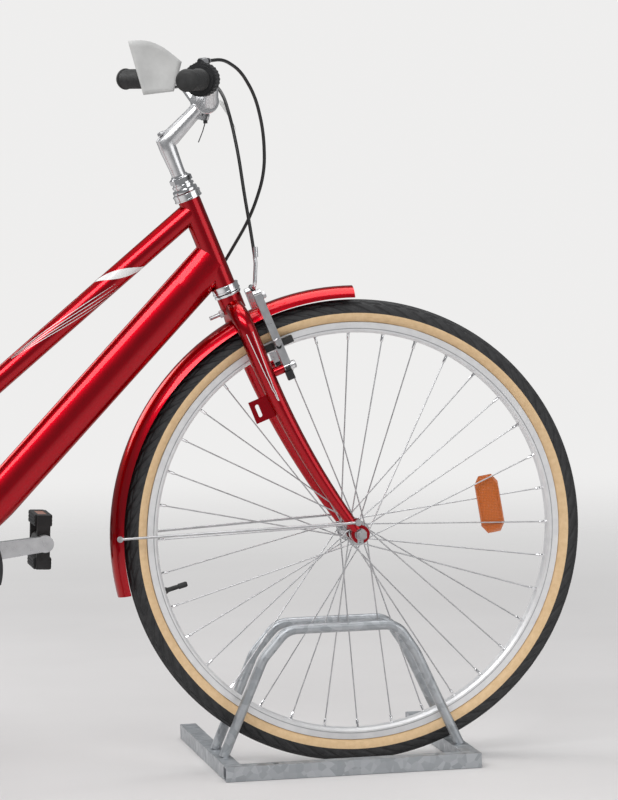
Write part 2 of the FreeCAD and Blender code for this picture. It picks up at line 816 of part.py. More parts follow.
def make_front_brake():
    arms = []
    shoes = []
    back = brake_arm_front - brake_arm_thickness
    for side in (-1, 1):
        pivot = steer(brake_boss_height, back, side * brake_boss_half_spacing)
        top = brake_arm_top(side)
        top_back = top - ahead_axis * (brake_arm_thickness / 2.0)
        lower = rod(pivot, pivot + ahead_axis * brake_arm_thickness, 9.0)
        upper = rod(top_back, top_back + ahead_axis * brake_arm_thickness, brake_arm_tip_radius)
        run = (top_back - pivot)
        across = ahead_axis.cross(run).normalize()
        corners = [pivot + across * 8.5, pivot - across * 8.5,
                   top_back - across * 5.0, top_back + across * 5.0]
        web = Part.Face(Part.makePolygon(corners + corners[:1])).extrude(
            ahead_axis * brake_arm_thickness)
        bolt = rod(pivot + ahead_axis * brake_arm_thickness,
                   steer(brake_boss_height, brake_stud_reach, side * brake_boss_half_spacing), 6.5)
        arm = fuse(web, lower, upper, bolt)
        shoe_height = math.sqrt((rim_outer_radius - 7.5) ** 2 - 4.0)
        shoe_inner = side * (rim_half_width + brake_shoe_gap)
        shoe_outer = shoe_inner + side * brake_shoe_depth
        middle = fork_rake - 5.0
        low_y, high_y = sorted((shoe_inner, shoe_outer))
        shoe = Part.makeBox(brake_shoe_length, high_y - low_y, brake_shoe_height,
                            V(-brake_shoe_length / 2.0, low_y, -brake_shoe_height / 2.0))
        shoe.rotate(V(0, 0, 0), V(0, 1, 0), head_angle - 90.0)
        shoe.translate(V(*steer(shoe_height, middle)))
        post_end = side * (brake_boss_half_spacing + 5.0)
        post = rod(steer(shoe_height, middle, shoe_outer), steer(shoe_height, middle, post_end), 4.0)
        arm = arm.cut(rod(steer(shoe_height, middle, shoe_outer),
                          steer(shoe_height, middle, side * 60.0), 4.0 + seat_gap))
        arms.append(arm)
        shoes.append(fuse(shoe, post))
    keep("front_brake_arms", *arms)
    keep("front_brake_shoes", *shoes)
    make_noodle()


def make_noodle():
    """The bent metal guide from the housing's end, over the right arm, towards the left one."""
    before, start = brake_cable_points()[-2:]
    top = brake_arm_top(-1)
    over = brake_arm_tip_radius + noodle_radius + 0.3
    elbow = top + up_axis * over
    end = V(elbow.x, -6.0, elbow.z)
    points = [start, start + (start - before).normalize() * 9.0, elbow, end]
    keep("brake_noodle", bent_rod(points, [30.0, 11.0], noodle_radius))


# ---------------------------------------------------------------- mudguards
def mudguard_shell(axle, start, end):
    """A curved strip: a circular-arc section turned about the axle."""
    inner_rise = mudguard_depth
    outer = [V(mudguard_radius - inner_rise, -mudguard_half_width, 0),
             V(mudguard_radius, 0, 0),
             V(mudguard_radius - inner_rise, mudguard_half_width, 0)]
    wall = mudguard_wall
    inner = [V(mudguard_radius - inner_rise, mudguard_half_width - wall, 0),
             V(mudguard_radius - wall, 0, 0),
             V(mudguard_radius - inner_rise, -mudguard_half_width + wall, 0)]
    outline = Part.Wire([
        Part.Arc(*outer).toShape(),
        Part.LineSegment(outer[2], inner[0]).toShape(),
        Part.Arc(*inner).toShape(),
        Part.LineSegment(inner[2], outer[0]).toShape(),
    ])
    face = Part.Face(outline)
    face.rotate(V(0, 0, 0), V(0, -1, 0), start)
    face.translate(axle)
    return face.revolve(axle, V(0, -1, 0), end - start)


def mudguard_stay(axle, degrees, eyelet, side):
    """A straight wire from the mudguard's edge to the eyelet by the dropout."""
    edge = wheel_point(axle, mudguard_radius - mudguard_depth + 6.0, degrees,
                       side * (mudguard_half_width + stay_radius + stay_gap))
    foot = V(eyelet.x, side * abs(eyelet.y), eyelet.z)
    wire = rod(edge, foot, stay_radius)
    outward = V(0, side, 0)
    loop = rod(foot - outward * stay_radius, foot + outward * stay_radius, 5.0)
    pad = rod(edge - outward * stay_radius, edge + outward * stay_radius, 4.5)
    return fuse(wire, loop, pad)


def make_mudguards():
    keep("front_mudguard", mudguard_shell(front_axle, front_mudguard_start, front_mudguard_end))
    keep("rear_mudguard", mudguard_shell(rear_axle, rear_mudguard_start, rear_mudguard_end))
    front_eyelet = V(front_axle.x - 5.0, front_eyelet_offset + seat_gap + stay_radius,
                     front_axle.z + eyelet_height)
    keep("front_mudguard_stays", *[mudguard_stay(front_axle, 179.0, front_eyelet, side)
                                   for side in (-1, 1)])
    rear_eyelet = V(rear_axle.x - 4.0, rear_locknut_half_width + dropout_thickness
                    + seat_gap + stay_radius, rear_axle.z + eyelet_height)
    keep("rear_mudguard_stays", *[mudguard_stay(rear_axle, 168.0, rear_eyelet, side)
                                  for side in (-1, 1)])
    reflector_angle = 156.0
    reflector = rod(V(0, 0, 0), V(9.0, 0, 0), 19.0)
    reflector.rotate(V(0, 0, 0), V(0, -1, 0), reflector_angle)
    reflector.translate(wheel_point(rear_axle, mudguard_radius + seat_gap, reflector_angle))
    keep("rear_reflector", reflector)


# ---------------------------------------------------------------- frame
def down_tube_ends():
    return steer(down_tube_start), V(crank_axle.x, 0, crank_axle.z)


def chain_stay_ends(side):
    start = crank_axle + V(0, side * chain_stay_root_half_spacing, 0)
    end = rear_axle + V(dropout_radius, side * (rear_locknut_half_width + dropout_thickness / 2.0), 0)
    return start, end


def chain_stay_bend(side):
    start, _ = chain_stay_ends(side)
    return start + V(-chain_stay_bend_back, side * chain_stay_bend_out, chain_stay_bend_up)


def make_frame():
    head_core = rod(steer(head_tube_bottom), steer(head_tube_top), head_tube_radius)
    head_bore = rod(steer(head_tube_bottom - 1.0), steer(head_tube_top + 1.0),
                    steerer_radius + steerer_clearance)
    keep("head_tube", head_core.cut(head_bore))

    shell = rod(crank_axle - left_axis * bottom_bracket_half_width,
                crank_axle + left_axis * bottom_bracket_half_width, bottom_bracket_radius)
    shell_bore = rod(crank_axle - left_axis * 80.0, crank_axle + left_axis * 80.0,
                     crank_axle_radius + running_gap)
    keep("bottom_bracket_shell", shell.cut(shell_bore))

    seat_tube = rod(crank_axle, on_seat_tube(seat_tube_length), seat_tube_radius)
    seat_tube = seat_tube.cut(rod(on_seat_tube(seat_tube_length - seat_post_insertion - 10.0),
                                  on_seat_tube(seat_tube_length + 1.0), seat_tube_bore))
    seat_tube = seat_tube.cut(shell)
    keep("seat_tube", seat_tube)
    seat_core = rod(crank_axle, on_seat_tube(seat_tube_length), seat_tube_radius)

    down_start, down_end = down_tube_ends()
    cup_room = rod(steer(head_tube_bottom - 2.0 * headset_cup_height), steer(head_tube_bottom),
                   headset_cup_radius + stay_gap)
    down_tube = oval_tube(down_start, down_end).cut(head_core).cut(cup_room)
    down_tube = down_tube.cut(shell).cut(seat_core)
    keep("down_tube", largest(down_tube))

    top_tube = rod(steer(top_tube_start), on_seat_tube(top_tube_meets_seat_tube), top_tube_radius)
    top_tube = top_tube.cut(head_core).cut(seat_core)
    keep("top_tube", largest(top_tube))
    make_rear_stays(shell, seat_core)


def oval_section(centre, along, half_depth, half_width):
    deep = along.cross(left_axis).normalize()
    ellipse = Part.Ellipse(centre + deep * half_depth, centre + left_axis * half_width, centre)
    return Part.Wire(ellipse.toShape())


def oval_tube(start, end):
    """A straight oval tube, its long side upright, narrowed where it meets the two shells."""
    along = (end - start).normalize()
    neck = start + along * down_tube_neck
    waist = end - along * down_tube_taper
    top_width = head_tube_radius + 1.0
    full = (down_tube_half_depth, down_tube_half_width)
    upper = Part.makeLoft([oval_section(start, along, down_tube_half_depth, top_width),
                           oval_section(neck, along, *full)], True, True)
    middle = Part.makeLoft([oval_section(neck, along, *full),
                            oval_section(waist, along, *full)], True, True)
    lower = Part.makeLoft([oval_section(waist, along, *full),
                           oval_section(end, along, bottom_bracket_radius + 0.5,
                                        down_tube_half_width - 1.0)], True, True)
    return upper.fuse([middle, lower])


def largest(shape):
    return max(shape.Solids, key=lambda solid: solid.Volume)


def make_rear_stays(shell, seat_core):
    """Chain stays and seat stays, coped against the dropout plates that hold the rear axle."""
    chain_stays = []
    seat_stays = []
    dropouts = []
    for side in (-1, 1):
        inner = rear_axle + left_axis * (side * rear_locknut_half_width)
        outer = inner + left_axis * (side * dropout_thickness)
        eyelet = V(-4.0, 0, eyelet_height)
        plate_solid = fuse(rod(inner, outer, rear_dropout_radius),
                           rod(inner + eyelet, outer + eyelet, 6.0))
        out = left_axis * side
        slot = rod(inner - out * 6.0, outer + out * 8.0, rear_axle_radius + dropout_slot_gap)
        clearance = fuse(rod(inner - out * 14.0, inner, washer_radius + 2.0),
                         rod(outer, outer + out * 16.0, washer_radius + 2.0))
        start, end = chain_stay_ends(side)
        lower = bent_rod([start, chain_stay_bend(side), end], [chain_stay_bend_radius],
                         chain_stay_radius)
        chain_stays.append(largest(lower.cut(shell).cut(seat_core).cut(plate_solid).cut(clearance)))
        top = on_seat_tube(seat_stay_top, side * (seat_tube_radius + seat_stay_radius - 3.0))
        upper = bent_rod([top, seat_stay_knee(side), seat_stay_foot(side)], [90.0], seat_stay_radius)
        upper = upper.cut(seat_core).cut(plate_solid).cut(clearance).cut(chain_stays[-1])
        seat_stays.append(largest(upper))
        dropouts.append(plate_solid.cut(slot))
    keep("chain_stays", *chain_stays)
    keep("seat_stays", *seat_stays)
    keep("rear_dropouts", *dropouts)
    make_bridges()


def seat_stay_knee(side):
    return on_seat_tube(seat_stay_top, side * seat_stay_half_spacing) + V(-64.0, 0, -58.0)


def seat_stay_foot(side):
    middle = rear_locknut_half_width + dropout_thickness / 2.0
    return rear_axle + V(6.0, side * middle, dropout_radius)


def make_bridges():
    """Two short tubes between the stays that carry the rear mudguard."""
    start, end = chain_stay_ends(1)
    reach = mudguard_radius + stay_bridge_radius + stay_gap
    lower_x = rear_axle.x + reach
    share = (start.x - lower_x) / (start.x - end.x)
    lower_middle = V(lower_x, 0, start.z + (end.z - start.z) * share)
    knee = seat_stay_knee(0)
    along = (seat_stay_foot(0) - knee).normalize()
    offset = knee - rear_axle
    half_chord = math.sqrt(offset.dot(along) ** 2 - offset.Length ** 2 + reach ** 2)
    upper_middle = knee + along * (-offset.dot(along) - half_chord)
    bridges = []
    for middle in (lower_middle, upper_middle):
        bridge = rod(middle - left_axis * 50.0, middle + left_axis * 50.0, stay_bridge_radius)
        for node in ("chain_stays", "seat_stays"):
            bridge = bridge.cut(PARTS[node])
        bridges.append(min(bridge.Solids, key=lambda solid: abs(solid.CenterOfMass.y)))
    keep("stay_bridges", *bridges)


def make_seat():
    post_low = on_seat_tube(seat_tube_length - seat_post_insertion)
    post_top_height = saddle_rail_height - 24.0
    post_length = (post_top_height - crank_axle.z) / math.sin(seat_radians)
    post_high = on_seat_tube(post_length)
    keep("seat_post", rod(post_low, post_high, seat_post_radius))
    collar = ring(on_seat_tube(seat_tube_length - seat_clamp_height),
                  on_seat_tube(seat_tube_length), seat_tube_radius + seat_clamp_wall,
                  seat_tube_radius)
    ears_centre = on_seat_tube(seat_tube_length - seat_clamp_height / 2.0)
    ears = box_between(ears_centre + V(-32.0, -8.0, -7.0), ears_centre + V(-17.0, 8.0, 7.0))
    ears = ears.cut(rod(on_seat_tube(seat_tube_length - 40.0), on_seat_tube(seat_tube_length + 20.0),
                        seat_tube_radius + 1.0))
    keep("seat_clamp", fuse(collar, ears))
    make_saddle(post_high)


def make_saddle(post_high):
    """Rails and clamp in steel, and a wide comfort saddle as one closed soft body."""
    rail_z = saddle_rail_height
    head_z = post_high.z + 6.0
    post_room = rod(on_seat_tube(seat_tube_length), post_high, seat_post_radius)
    pieces = [rod(V(post_high.x, -17.0, head_z), V(post_high.x, 17.0, head_z), 15.0),
              box_between(V(post_high.x - 20.0, -26.5, head_z - 2.0),
                          V(post_high.x + 20.0, 26.5, rail_z + 3.0))]
    for side in (-1, 1):
        middle = V(post_high.x, side * saddle_rail_spacing, rail_z)
        pieces.append(bent_rod([
            middle + V(-96.0, 0, saddle_rail_rear_rise), middle + V(-60.0, 0, 0),
            middle + V(55.0, 0, 0), middle + V(112.0, -side * 14.0, saddle_rail_front_rise),
        ], [26.0, 60.0], saddle_rail_radius))
    keep("saddle_rails", fuse(*pieces).cut(post_room))
    front = post_high.x + saddle_front
    stations = [
        (0.0, 20.0, 26.0, 7.0), (0.10, 25.0, 36.0, 2.0), (0.34, 30.0, 42.0, 3.0),
        (0.58, 58.0, 46.0, 4.0), (0.80, 94.0, 49.0, 1.0), (0.94, 90.0, 50.0, 0.0),
        (1.0, 66.0, 34.0, 5.0),
    ]
    wires = []
    for share, half_width, height, drop in stations:
        x = front - saddle_length * share
        wires.append(saddle_section(x, half_width, saddle_height - drop, height))
    keep("saddle", Part.makeLoft(wires, True, True))


def saddle_section(x, half_width, top, height):
    """A domed section with a flat underside."""
    low = top - height
    corners = [V(x, -half_width, low + height * 0.35), V(x, 0, top),
               V(x, half_width, low + height * 0.35)]
    return Part.Wire([
        Part.Arc(*corners).toShape(),
        Part.LineSegment(corners[2], V(x, half_width * 0.86, low)).toShape(),
        Part.LineSegment(V(x, half_width * 0.86, low), V(x, -half_width * 0.86, low)).toShape(),
        Part.LineSegment(V(x, -half_width * 0.86, low), corners[0]).toShape(),
    ])


# ---------------------------------------------------------------- axles
def threaded_axle(axle, radius, half_width):
    """Axle, locknuts, washers and nuts of a wheel, fixed in its dropouts."""
    outer = half_width + dropout_thickness
    end = outer + washer_thickness + axle_nut_height + 3.0
    pieces = [rod(axle - left_axis * end, axle + left_axis * end, radius)]
    for side in (-1, 1):
        out = left_axis * side
        pieces.append(rod(axle + out * (half_width - 8.0), axle + out * half_width, radius + 3.5))
        pieces.append(rod(axle + out * outer, axle + out * (outer + washer_thickness), washer_radius))
        pieces.append(hexagon(axle + out * (outer + washer_thickness), out,
                              axle_nut_across_flats, axle_nut_height))
    return fuse(*pieces)


def make_axles():
    keep("front_axle", threaded_axle(front_axle, front_axle_radius, front_locknut_half_width))
    keep("rear_axle", threaded_axle(rear_axle, rear_axle_radius, rear_locknut_half_width))


# ---------------------------------------------------------------- drive
def crank_direction(side):
    angle = math.radians(left_crank_rise_angle)
    return V(math.cos(angle), 0, math.sin(angle)) * side


def pedal_centre(side):
    return crank_axle + crank_direction(side) * crank_length


def make_crank(side):
    """A tapered arm from the crank axle to the pedal."""
    inner_y = side * crank_inner_offset
    outer_y = side * (crank_inner_offset + crank_thickness)
    low_y, high_y = sorted((inner_y, outer_y))
    direction = crank_direction(side)
    across = direction.cross(left_axis).normalize()
    tip = pedal_centre(side)
    corners = [crank_axle + across * crank_root_half_width, crank_axle - across * crank_root_half_width,
               tip - across * (crank_tip_radius - 1.5), tip + across * (crank_tip_radius - 1.5)]
    corners = [V(point.x, low_y, point.z) for point in corners]
    web = Part.Face(Part.makePolygon(corners + corners[:1])).extrude(V(0, high_y - low_y, 0))
    boss = rod(V(crank_axle.x, low_y, crank_axle.z), V(crank_axle.x, high_y, crank_axle.z),
               crank_boss_radius)
    end = rod(V(tip.x, low_y, tip.z), V(tip.x, high_y, tip.z), crank_tip_radius)
    crank = fuse(web, boss, end)
    bore_start = V(crank_axle.x, low_y - 1.0, crank_axle.z)
    bore_end = V(crank_axle.x, high_y + 1.0, crank_axle.z)
    return crank.cut(rod(bore_start, bore_end, crank_axle_radius))


def make_chainring():
    """Toothed ring, spider arms and the seat on the right crank."""
    ring_outer = chainring_radius - chain_half_height - chain_gap
    low_y = -chain_line - chainring_thickness / 2.0
    middle = V(crank_axle.x, low_y, crank_axle.z)
    high = middle + V(0, chainring_thickness, 0)
    disc = ring(middle, high, ring_outer, ring_outer - chainring_band)
    arms = []
    half_arm = spider_arm_width / 2.0
    for index in range(spider_arms):
        arm = box_between(V(crank_axle_radius - 0.5, 0, -half_arm),
                          V(ring_outer - chainring_band / 2.0, chainring_thickness, half_arm))
        arm.rotate(V(0, 0, 0), V(0, 1, 0), 360.0 / spider_arms * index + 18.0)
        arm.translate(middle)
        arms.append(arm)
    seat_low = V(crank_axle.x, -crank_inner_offset, crank_axle.z)
    seat = rod(seat_low, high, spider_seat_radius)
    chainring = fuse(disc, seat, *arms)
    return chainring.cut(rod(seat_low - left_axis, high + left_axis, crank_axle_radius))


def make_drive():
    reach = crank_inner_offset + crank_thickness
    keep("crank_axle", rod(crank_axle - left_axis * reach, crank_axle + left_axis * reach,
                           crank_axle_radius))
    keep("left_crank", make_crank(1))
    keep("right_crank", make_crank(-1))
    keep("chainring", make_chainring())
    keep("pedal_axles", *[make_pedal_axle(side) for side in (1, -1)])
    keep("left_pedal", make_pedal(1))
    keep("right_pedal", make_pedal(-1))
    make_sprocket()
    make_chain()
    make_chain_guard()


def make_pedal_axle(side):
    centre = pedal_centre(side)
    start = V(centre.x, side * (crank_inner_offset + crank_thickness), centre.z)
    shoulder = rod(start, start + left_axis * (side * 6.0), 7.0)
    return fuse(rod(start, start + left_axis * (side * pedal_axle_reach), pedal_axle_radius), shoulder)


def make_pedal(side):
    """A block pedal: two tread blocks between end plates, on a core that turns on its axle."""
    centre = pedal_centre(side)
    inner = side * (crank_inner_offset + crank_thickness + pedal_inner_gap)
    low_y, high_y = sorted((inner, inner + side * pedal_width))
    half_length = pedal_length / 2.0
    half_thickness = pedal_thickness / 2.0
    half_plate = half_thickness - 3.0
    pieces = [rod(V(0, low_y, 0), V(0, high_y, 0), pedal_core_radius)]
    for plate_low in (low_y, high_y - pedal_plate):
        pieces.append(box_between(V(-half_plate, plate_low, -half_length),
                                  V(half_plate, plate_low + pedal_plate, half_length)))
    for end in (-1, 1):
        low_z, high_z = sorted((end * half_length, end * (half_length - pedal_tread_width)))
        pieces.append(box_between(V(-half_thickness, low_y + pedal_plate, low_z),
                                  V(half_thickness, high_y - pedal_plate, high_z)))
    body = fuse(*pieces)
    middle_y = (low_y + high_y) / 2.0
    half_notch = pedal_reflector_length / 2.0
    for end in (-1, 1):
        low_z, high_z = sorted((end * half_length, end * (half_length - pedal_reflector_depth)))
        body = body.cut(box_between(V(-7.0, middle_y - half_notch, low_z),
                                    V(7.0, middle_y + half_notch, high_z)))
    body = body.cut(rod(V(0, low_y - 1.0, 0), V(0, high_y + 1.0, 0),
                        pedal_axle_radius + pedal_bore_gap))
    body.rotate(V(0, 0, 0), V(0, 1, 0), pedal_tilt)
    body.translate(V(centre.x, 0, centre.z))
    return body


def make_sprocket():
    outer = sprocket_radius - chain_half_height - chain_gap
    low = rear_axle - left_axis * (chain_line + chainring_thickness / 2.0)
    high = low + left_axis * chainring_thickness
    driver_high = rear_axle - left_axis * (rear_flange_offset + 6.6)
    sprocket = fuse(rod(low, high, outer), rod(low, driver_high, 17.0))
    keep("rear_sprocket", sprocket.cut(rod(low - left_axis, driver_high + left_axis,
                                           rear_axle_radius + running_gap)))


def chain_loop(offset):
    """The loop round both wheels of the drive, grown or shrunk by an offset."""
    big = chainring_radius + offset
    small = sprocket_radius + offset
    span = crank_axle - rear_axle
    distance = math.hypot(span.x, span.z)
    heading = math.atan2(span.z, span.x)
    lean = math.asin((chainring_radius - sprocket_radius) / distance)
    up = heading + math.pi / 2.0 + lean
    down = heading - math.pi / 2.0 - lean

    def around(centre, radius, angle):
        return V(centre.x + radius * math.cos(angle), 0, centre.z + radius * math.sin(angle))

    rear_up, rear_down = around(rear_axle, small, up), around(rear_axle, small, down)
    front_up, front_down = around(crank_axle, big, up), around(crank_axle, big, down)
    return Part.Wire([
        Part.LineSegment(rear_up, front_up).toShape(),
        Part.Arc(front_up, around(crank_axle, big, heading), front_down).toShape(),
        Part.LineSegment(front_down, rear_down).toShape(),
        Part.Arc(rear_down, around(rear_axle, small, heading + math.pi), rear_up).toShape(),
    ])


def loop_plate(offset, low_y, high_y):
    face = Part.Face(chain_loop(offset))
    face.translate(V(0, low_y, 0))
    return face.extrude(V(0, high_y - low_y, 0))


def make_chain():
    low, high = -chain_line - chain_half_width, -chain_line + chain_half_width
    outer = loop_plate(chain_half_height, low, high)
    inner = loop_plate(-chain_half_height, low - 1.0, high + 1.0)
    keep("chain", outer.cut(inner))


def make_chain_guard():
    """An open guard over the upper run and the front of the chainring, with an outer skirt."""
    outer_offset = guard_clearance + guard_wall
    shell = loop_plate(outer_offset, -guard_outer_offset, -guard_inner_offset)
    hollow = loop_plate(guard_clearance, -guard_outer_offset + guard_wall, 0.0)
    skirt_hole = loop_plate(guard_clearance - guard_skirt, -guard_outer_offset - 1.0, 0.0)
    guard = shell.cut(hollow).cut(skirt_hole)
    cut_top = crank_axle.z - 26.0
    guard = guard.cut(box_between(V(rear_axle.x - 200.0, -100.0, 0.0),
                                  V(crank_axle.x + 300.0, 100.0, cut_top)))
    back = rear_axle.x + 78.0
    guard = guard.cut(box_between(V(rear_axle.x - 200.0, -100.0, 0.0), V(back, 100.0, 700.0)))
    guard = guard.cut(box_between(V(back - 1.0, -100.0, 0.0),
                                  V(crank_axle.x + 40.0, 100.0, crank_axle.z + 34.0)))
    tab = loop_plate(outer_offset, -guard_inner_offset - 1.0, -seat_tube_radius - stay_gap)
    tab = tab.cut(loop_plate(guard_clearance, -guard_inner_offset - 2.0, 0.0))
    seat_x = crank_axle.x - (chainring_radius + guard_clearance) / math.tan(seat_radians)
    tab = tab.common(box_between(V(seat_x - 9.0, -100.0, crank_axle.z), V(seat_x + 9.0, 0.0, 700.0)))
    keep("chain_guard", fuse(largest(guard), tab))


# ---------------------------------------------------------------- kick stand
def kickstand_mount():
    """The clamp's middle on the left chain stay, and the stay's direction there."""
    _, end = chain_stay_ends(1)
    along = (chain_stay_bend(1) - end).normalize()
    return end + along * kickstand_mount_ahead, along


def kickstand_frame():
    mount, _ = kickstand_mount()
    pivot = mount + V(0, kickstand_pivot_out, -kickstand_pivot_drop)
    axis = V(-0.08, 0.995, 0.06).normalize()
    return pivot, axis


def make_kickstand():
    """Bracket clamped round the left chain stay, and the leg folded back beside the wheel."""
    mount, along = kickstand_mount()
    pivot, axis = kickstand_frame()
    half = along * (kickstand_clamp_length / 2.0)
    stay_room = chain_stay_radius + seat_gap
    clamp = rod(mount - half, mount + half, stay_room + kickstand_clamp_wall)
    arm = rod(mount, pivot, kickstand_arm_radius)
    hub_end = kickstand_hub_gap + kickstand_hub_length
    pin = rod(pivot, pivot + axis * (hub_end + 2.0), kickstand_pivot_radius)
    collar = rod(pivot, pivot + axis * (kickstand_hub_gap - 1.0), kickstand_arm_radius)
    bracket = fuse(clamp, arm, pin, collar)
    keep("kickstand_bracket", bracket.cut(rod(mount - half * 2.0, mount + half * 2.0, stay_room)))
    hub = rod(pivot + axis * kickstand_hub_gap, pivot + axis * hub_end, kickstand_hub_radius)
    folded = V(-0.998, 0, 0.05).normalize()
    start = pivot + axis * (kickstand_hub_gap + kickstand_hub_length / 2.0)
    foot_start = start + folded * kickstand_length + left_axis * kickstand_bend_out
    leg = bent_rod([start, start + folded * kickstand_bend_at, foot_start],
                   [kickstand_bend_radius], kickstand_leg_radius)
    foot = rod(foot_start, foot_start + folded * kickstand_foot_length, kickstand_foot_radius)
    pin_room = rod(pivot, pivot + axis * (hub_end + 10.0), kickstand_pivot_radius + running_gap)
    keep("kickstand", fuse(hub, leg, foot).cut(pin_room))


# ---------------------------------------------------------------- display stand
def rail(low, high):
    """A square galvanised tube, open at its ends, along its longer side."""
    outer = box_between(low, high)
    size = high - low
    wall = rail_wall
    if size.x > size.y:
        inner = box_between(low + V(-1.0, wall, wall), high + V(1.0, -wall, -wall))
    else:
        inner = box_between(low + V(wall, -1.0, wall), high + V(-wall, 1.0, -wall))
    return outer.cut(inner)


def make_display_stand():
    rear_x = front_axle_x + stand_rear_x
    front_x = front_axle_x + stand_front_x
    cross = rail(V(rear_x, stand_near_y, 0), V(front_x, stand_near_y + rail_width, rail_height))
    rear = rail(V(rear_x, stand_near_y + rail_width, 0), V(rear_x + rail_width, stand_far_y, rail_height))
    front = rail(V(front_x - rail_width, stand_near_y + rail_width, 0),
                 V(front_x, stand_far_y, rail_height))
    for hole_x in (stand_hole_rear_x, stand_hole_front_x):
        centre = from_front(hole_x, stand_near_y + rail_width / 2.0, 0)
        cross = cross.cut(rod(centre - V(0, 0, 1.0), centre + V(0, 0, rail_height + 1.0),
                              stand_hole_radius))
    keep("stand_cross_rail", cross)
    keep("stand_side_rails", rear, front)
    rail_x = rail_width / 2.0
    hoops = []
    for side in (-1, 1):
        y = side * hoop_half_spacing
        points = [
            V(rear_x + rail_x, y, rail_height), from_front(hoop_rear_shoulder_x, y, hoop_shoulder_z),
            from_front(hoop_rear_top_x, y, hoop_height), from_front(hoop_front_top_x, y, hoop_height),
            from_front(hoop_front_shoulder_x, y, hoop_shoulder_z), V(front_x - rail_x, y, rail_height),
        ]
        radii = [hoop_bend_radius * 1.6, hoop_bend_radius, hoop_bend_radius, hoop_bend_radius * 1.6]
        hoop = bent_rod(points, radii, hoop_tube_radius)
        floor_cut = box_between(V(rear_x - 50.0, -200.0, -50.0), V(front_x + 50.0, 200.0, rail_height))
        hoops.append(hoop.cut(floor_cut))
    keep("stand_hoops", *hoops)


# ---------------------------------------------------------------- build
make_wheels()
make_fork()
make_headset()
make_stem()
make_handlebar()
make_grips()
make_gear_shifter()
make_brake_lever()
make_front_brake()
make_cables()
make_mudguards()
make_frame()
make_seat()
make_axles()
make_drive()
make_kickstand()
make_display_stand()

os.makedirs("parts", exist_ok=True)
for node, shape in PARTS.items():
    shape.exportStep("parts/" + node + ".step")
print(len(PARTS), "parts")
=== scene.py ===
"""City bicycle in its display stand: finishes, small parts, light and camera.

Metres, in the row frame: X forward, Y to the rider's left, Z up, floor at Z = 0.
"""
import bpy
import json
import math
from mathutils import Matrix, Vector


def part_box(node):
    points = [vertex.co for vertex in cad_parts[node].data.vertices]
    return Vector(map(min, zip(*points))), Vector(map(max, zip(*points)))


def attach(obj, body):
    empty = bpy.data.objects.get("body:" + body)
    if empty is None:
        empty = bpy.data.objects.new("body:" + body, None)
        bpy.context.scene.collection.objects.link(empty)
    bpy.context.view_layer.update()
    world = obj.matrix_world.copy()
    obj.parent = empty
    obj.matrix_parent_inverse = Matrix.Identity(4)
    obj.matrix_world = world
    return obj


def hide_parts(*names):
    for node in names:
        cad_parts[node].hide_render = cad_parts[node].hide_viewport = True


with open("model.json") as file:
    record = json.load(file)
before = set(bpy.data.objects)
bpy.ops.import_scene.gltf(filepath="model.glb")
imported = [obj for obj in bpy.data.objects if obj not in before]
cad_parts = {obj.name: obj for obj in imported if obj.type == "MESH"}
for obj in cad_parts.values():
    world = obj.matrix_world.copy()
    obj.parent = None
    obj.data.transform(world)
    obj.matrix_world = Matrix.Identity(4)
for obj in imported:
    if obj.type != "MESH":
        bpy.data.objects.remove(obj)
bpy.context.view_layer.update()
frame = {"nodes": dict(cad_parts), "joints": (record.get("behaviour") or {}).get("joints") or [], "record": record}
NODES = frame["nodes"]

# ------------------------------------------------------------------ places from the frame


def middle(node):
    low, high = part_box(node)
    return (Vector(low) + Vector(high)) / 2.0


FRONT_AXLE = middle("front_tyre")
REAR_AXLE = middle("rear_tyre")
CRANK_AXLE = middle("crank_axle")
JOINTS = {joint["name"]: joint for joint in frame["joints"]}
STEER_UP = Vector(JOINTS["steering"]["axis"]).normalized()
STEER_POINT = Vector(JOINTS["steering"]["pos_m"])
LEFT = Vector((0.0, 1.0, 0.0))
STEER_AHEAD = LEFT.cross(STEER_UP).normalized()
STEER_FOOT = STEER_POINT - STEER_UP * 0.480


def steer(along, ahead=0.0, left=0.0):
    """A point along the steering axis, ahead of it and to the left."""
    return STEER_FOOT + STEER_UP * along + STEER_AHEAD * ahead + LEFT * left


def from_front(x, y, z):
    """A point from the floor under the front axle."""
    return Vector((FRONT_AXLE.x + x, y, z))


# ------------------------------------------------------------------ camera
CAMERA_PLACE = from_front(-1.258, -6.183, 1.081)
CAMERA_YAW = math.radians(10.94)       # from the rider's left towards the front
CAMERA_PITCH = math.radians(4.83)      # downward
CAMERA_ROLL = math.radians(-1.41)
LENS = 189.63
SENSOR = 36.0


def make_camera():
    data = bpy.data.cameras.new("camera")
    data.sensor_width = SENSOR
    data.lens = LENS
    data.clip_start = 0.1
    data.clip_end = 100.0
    camera = bpy.data.objects.new("camera", data)
    bpy.context.scene.collection.objects.link(camera)
    level = Vector((math.sin(CAMERA_YAW), math.cos(CAMERA_YAW), 0.0))
    look = level * math.cos(CAMERA_PITCH) - Vector((0.0, 0.0, math.sin(CAMERA_PITCH)))
    right = Vector((level.y, -level.x, 0.0))
    up = right.cross(look)
    rolled_right = right * math.cos(CAMERA_ROLL) + up * math.sin(CAMERA_ROLL)
    rolled_up = up * math.cos(CAMERA_ROLL) - right * math.sin(CAMERA_ROLL)
    turn = Matrix((rolled_right, rolled_up, -look)).transposed().to_4x4()
    camera.matrix_world = Matrix.Translation(CAMERA_PLACE) @ turn
    bpy.context.scene.camera = camera


make_camera()

# ------------------------------------------------------------------ materials
MATERIALS = {}


def new_material(name, **settings):
    """A Principled material in MATERIALS; settings are its sockets, with underscores for spaces."""
    material = bpy.data.materials.new(name)
    MATERIALS[name] = material
    material.use_nodes = True
    shader = material.node_tree.nodes["Principled BSDF"]
    for key, value in settings.items():
        shader.inputs[key.replace("_", " ")].default_value = value
    return material


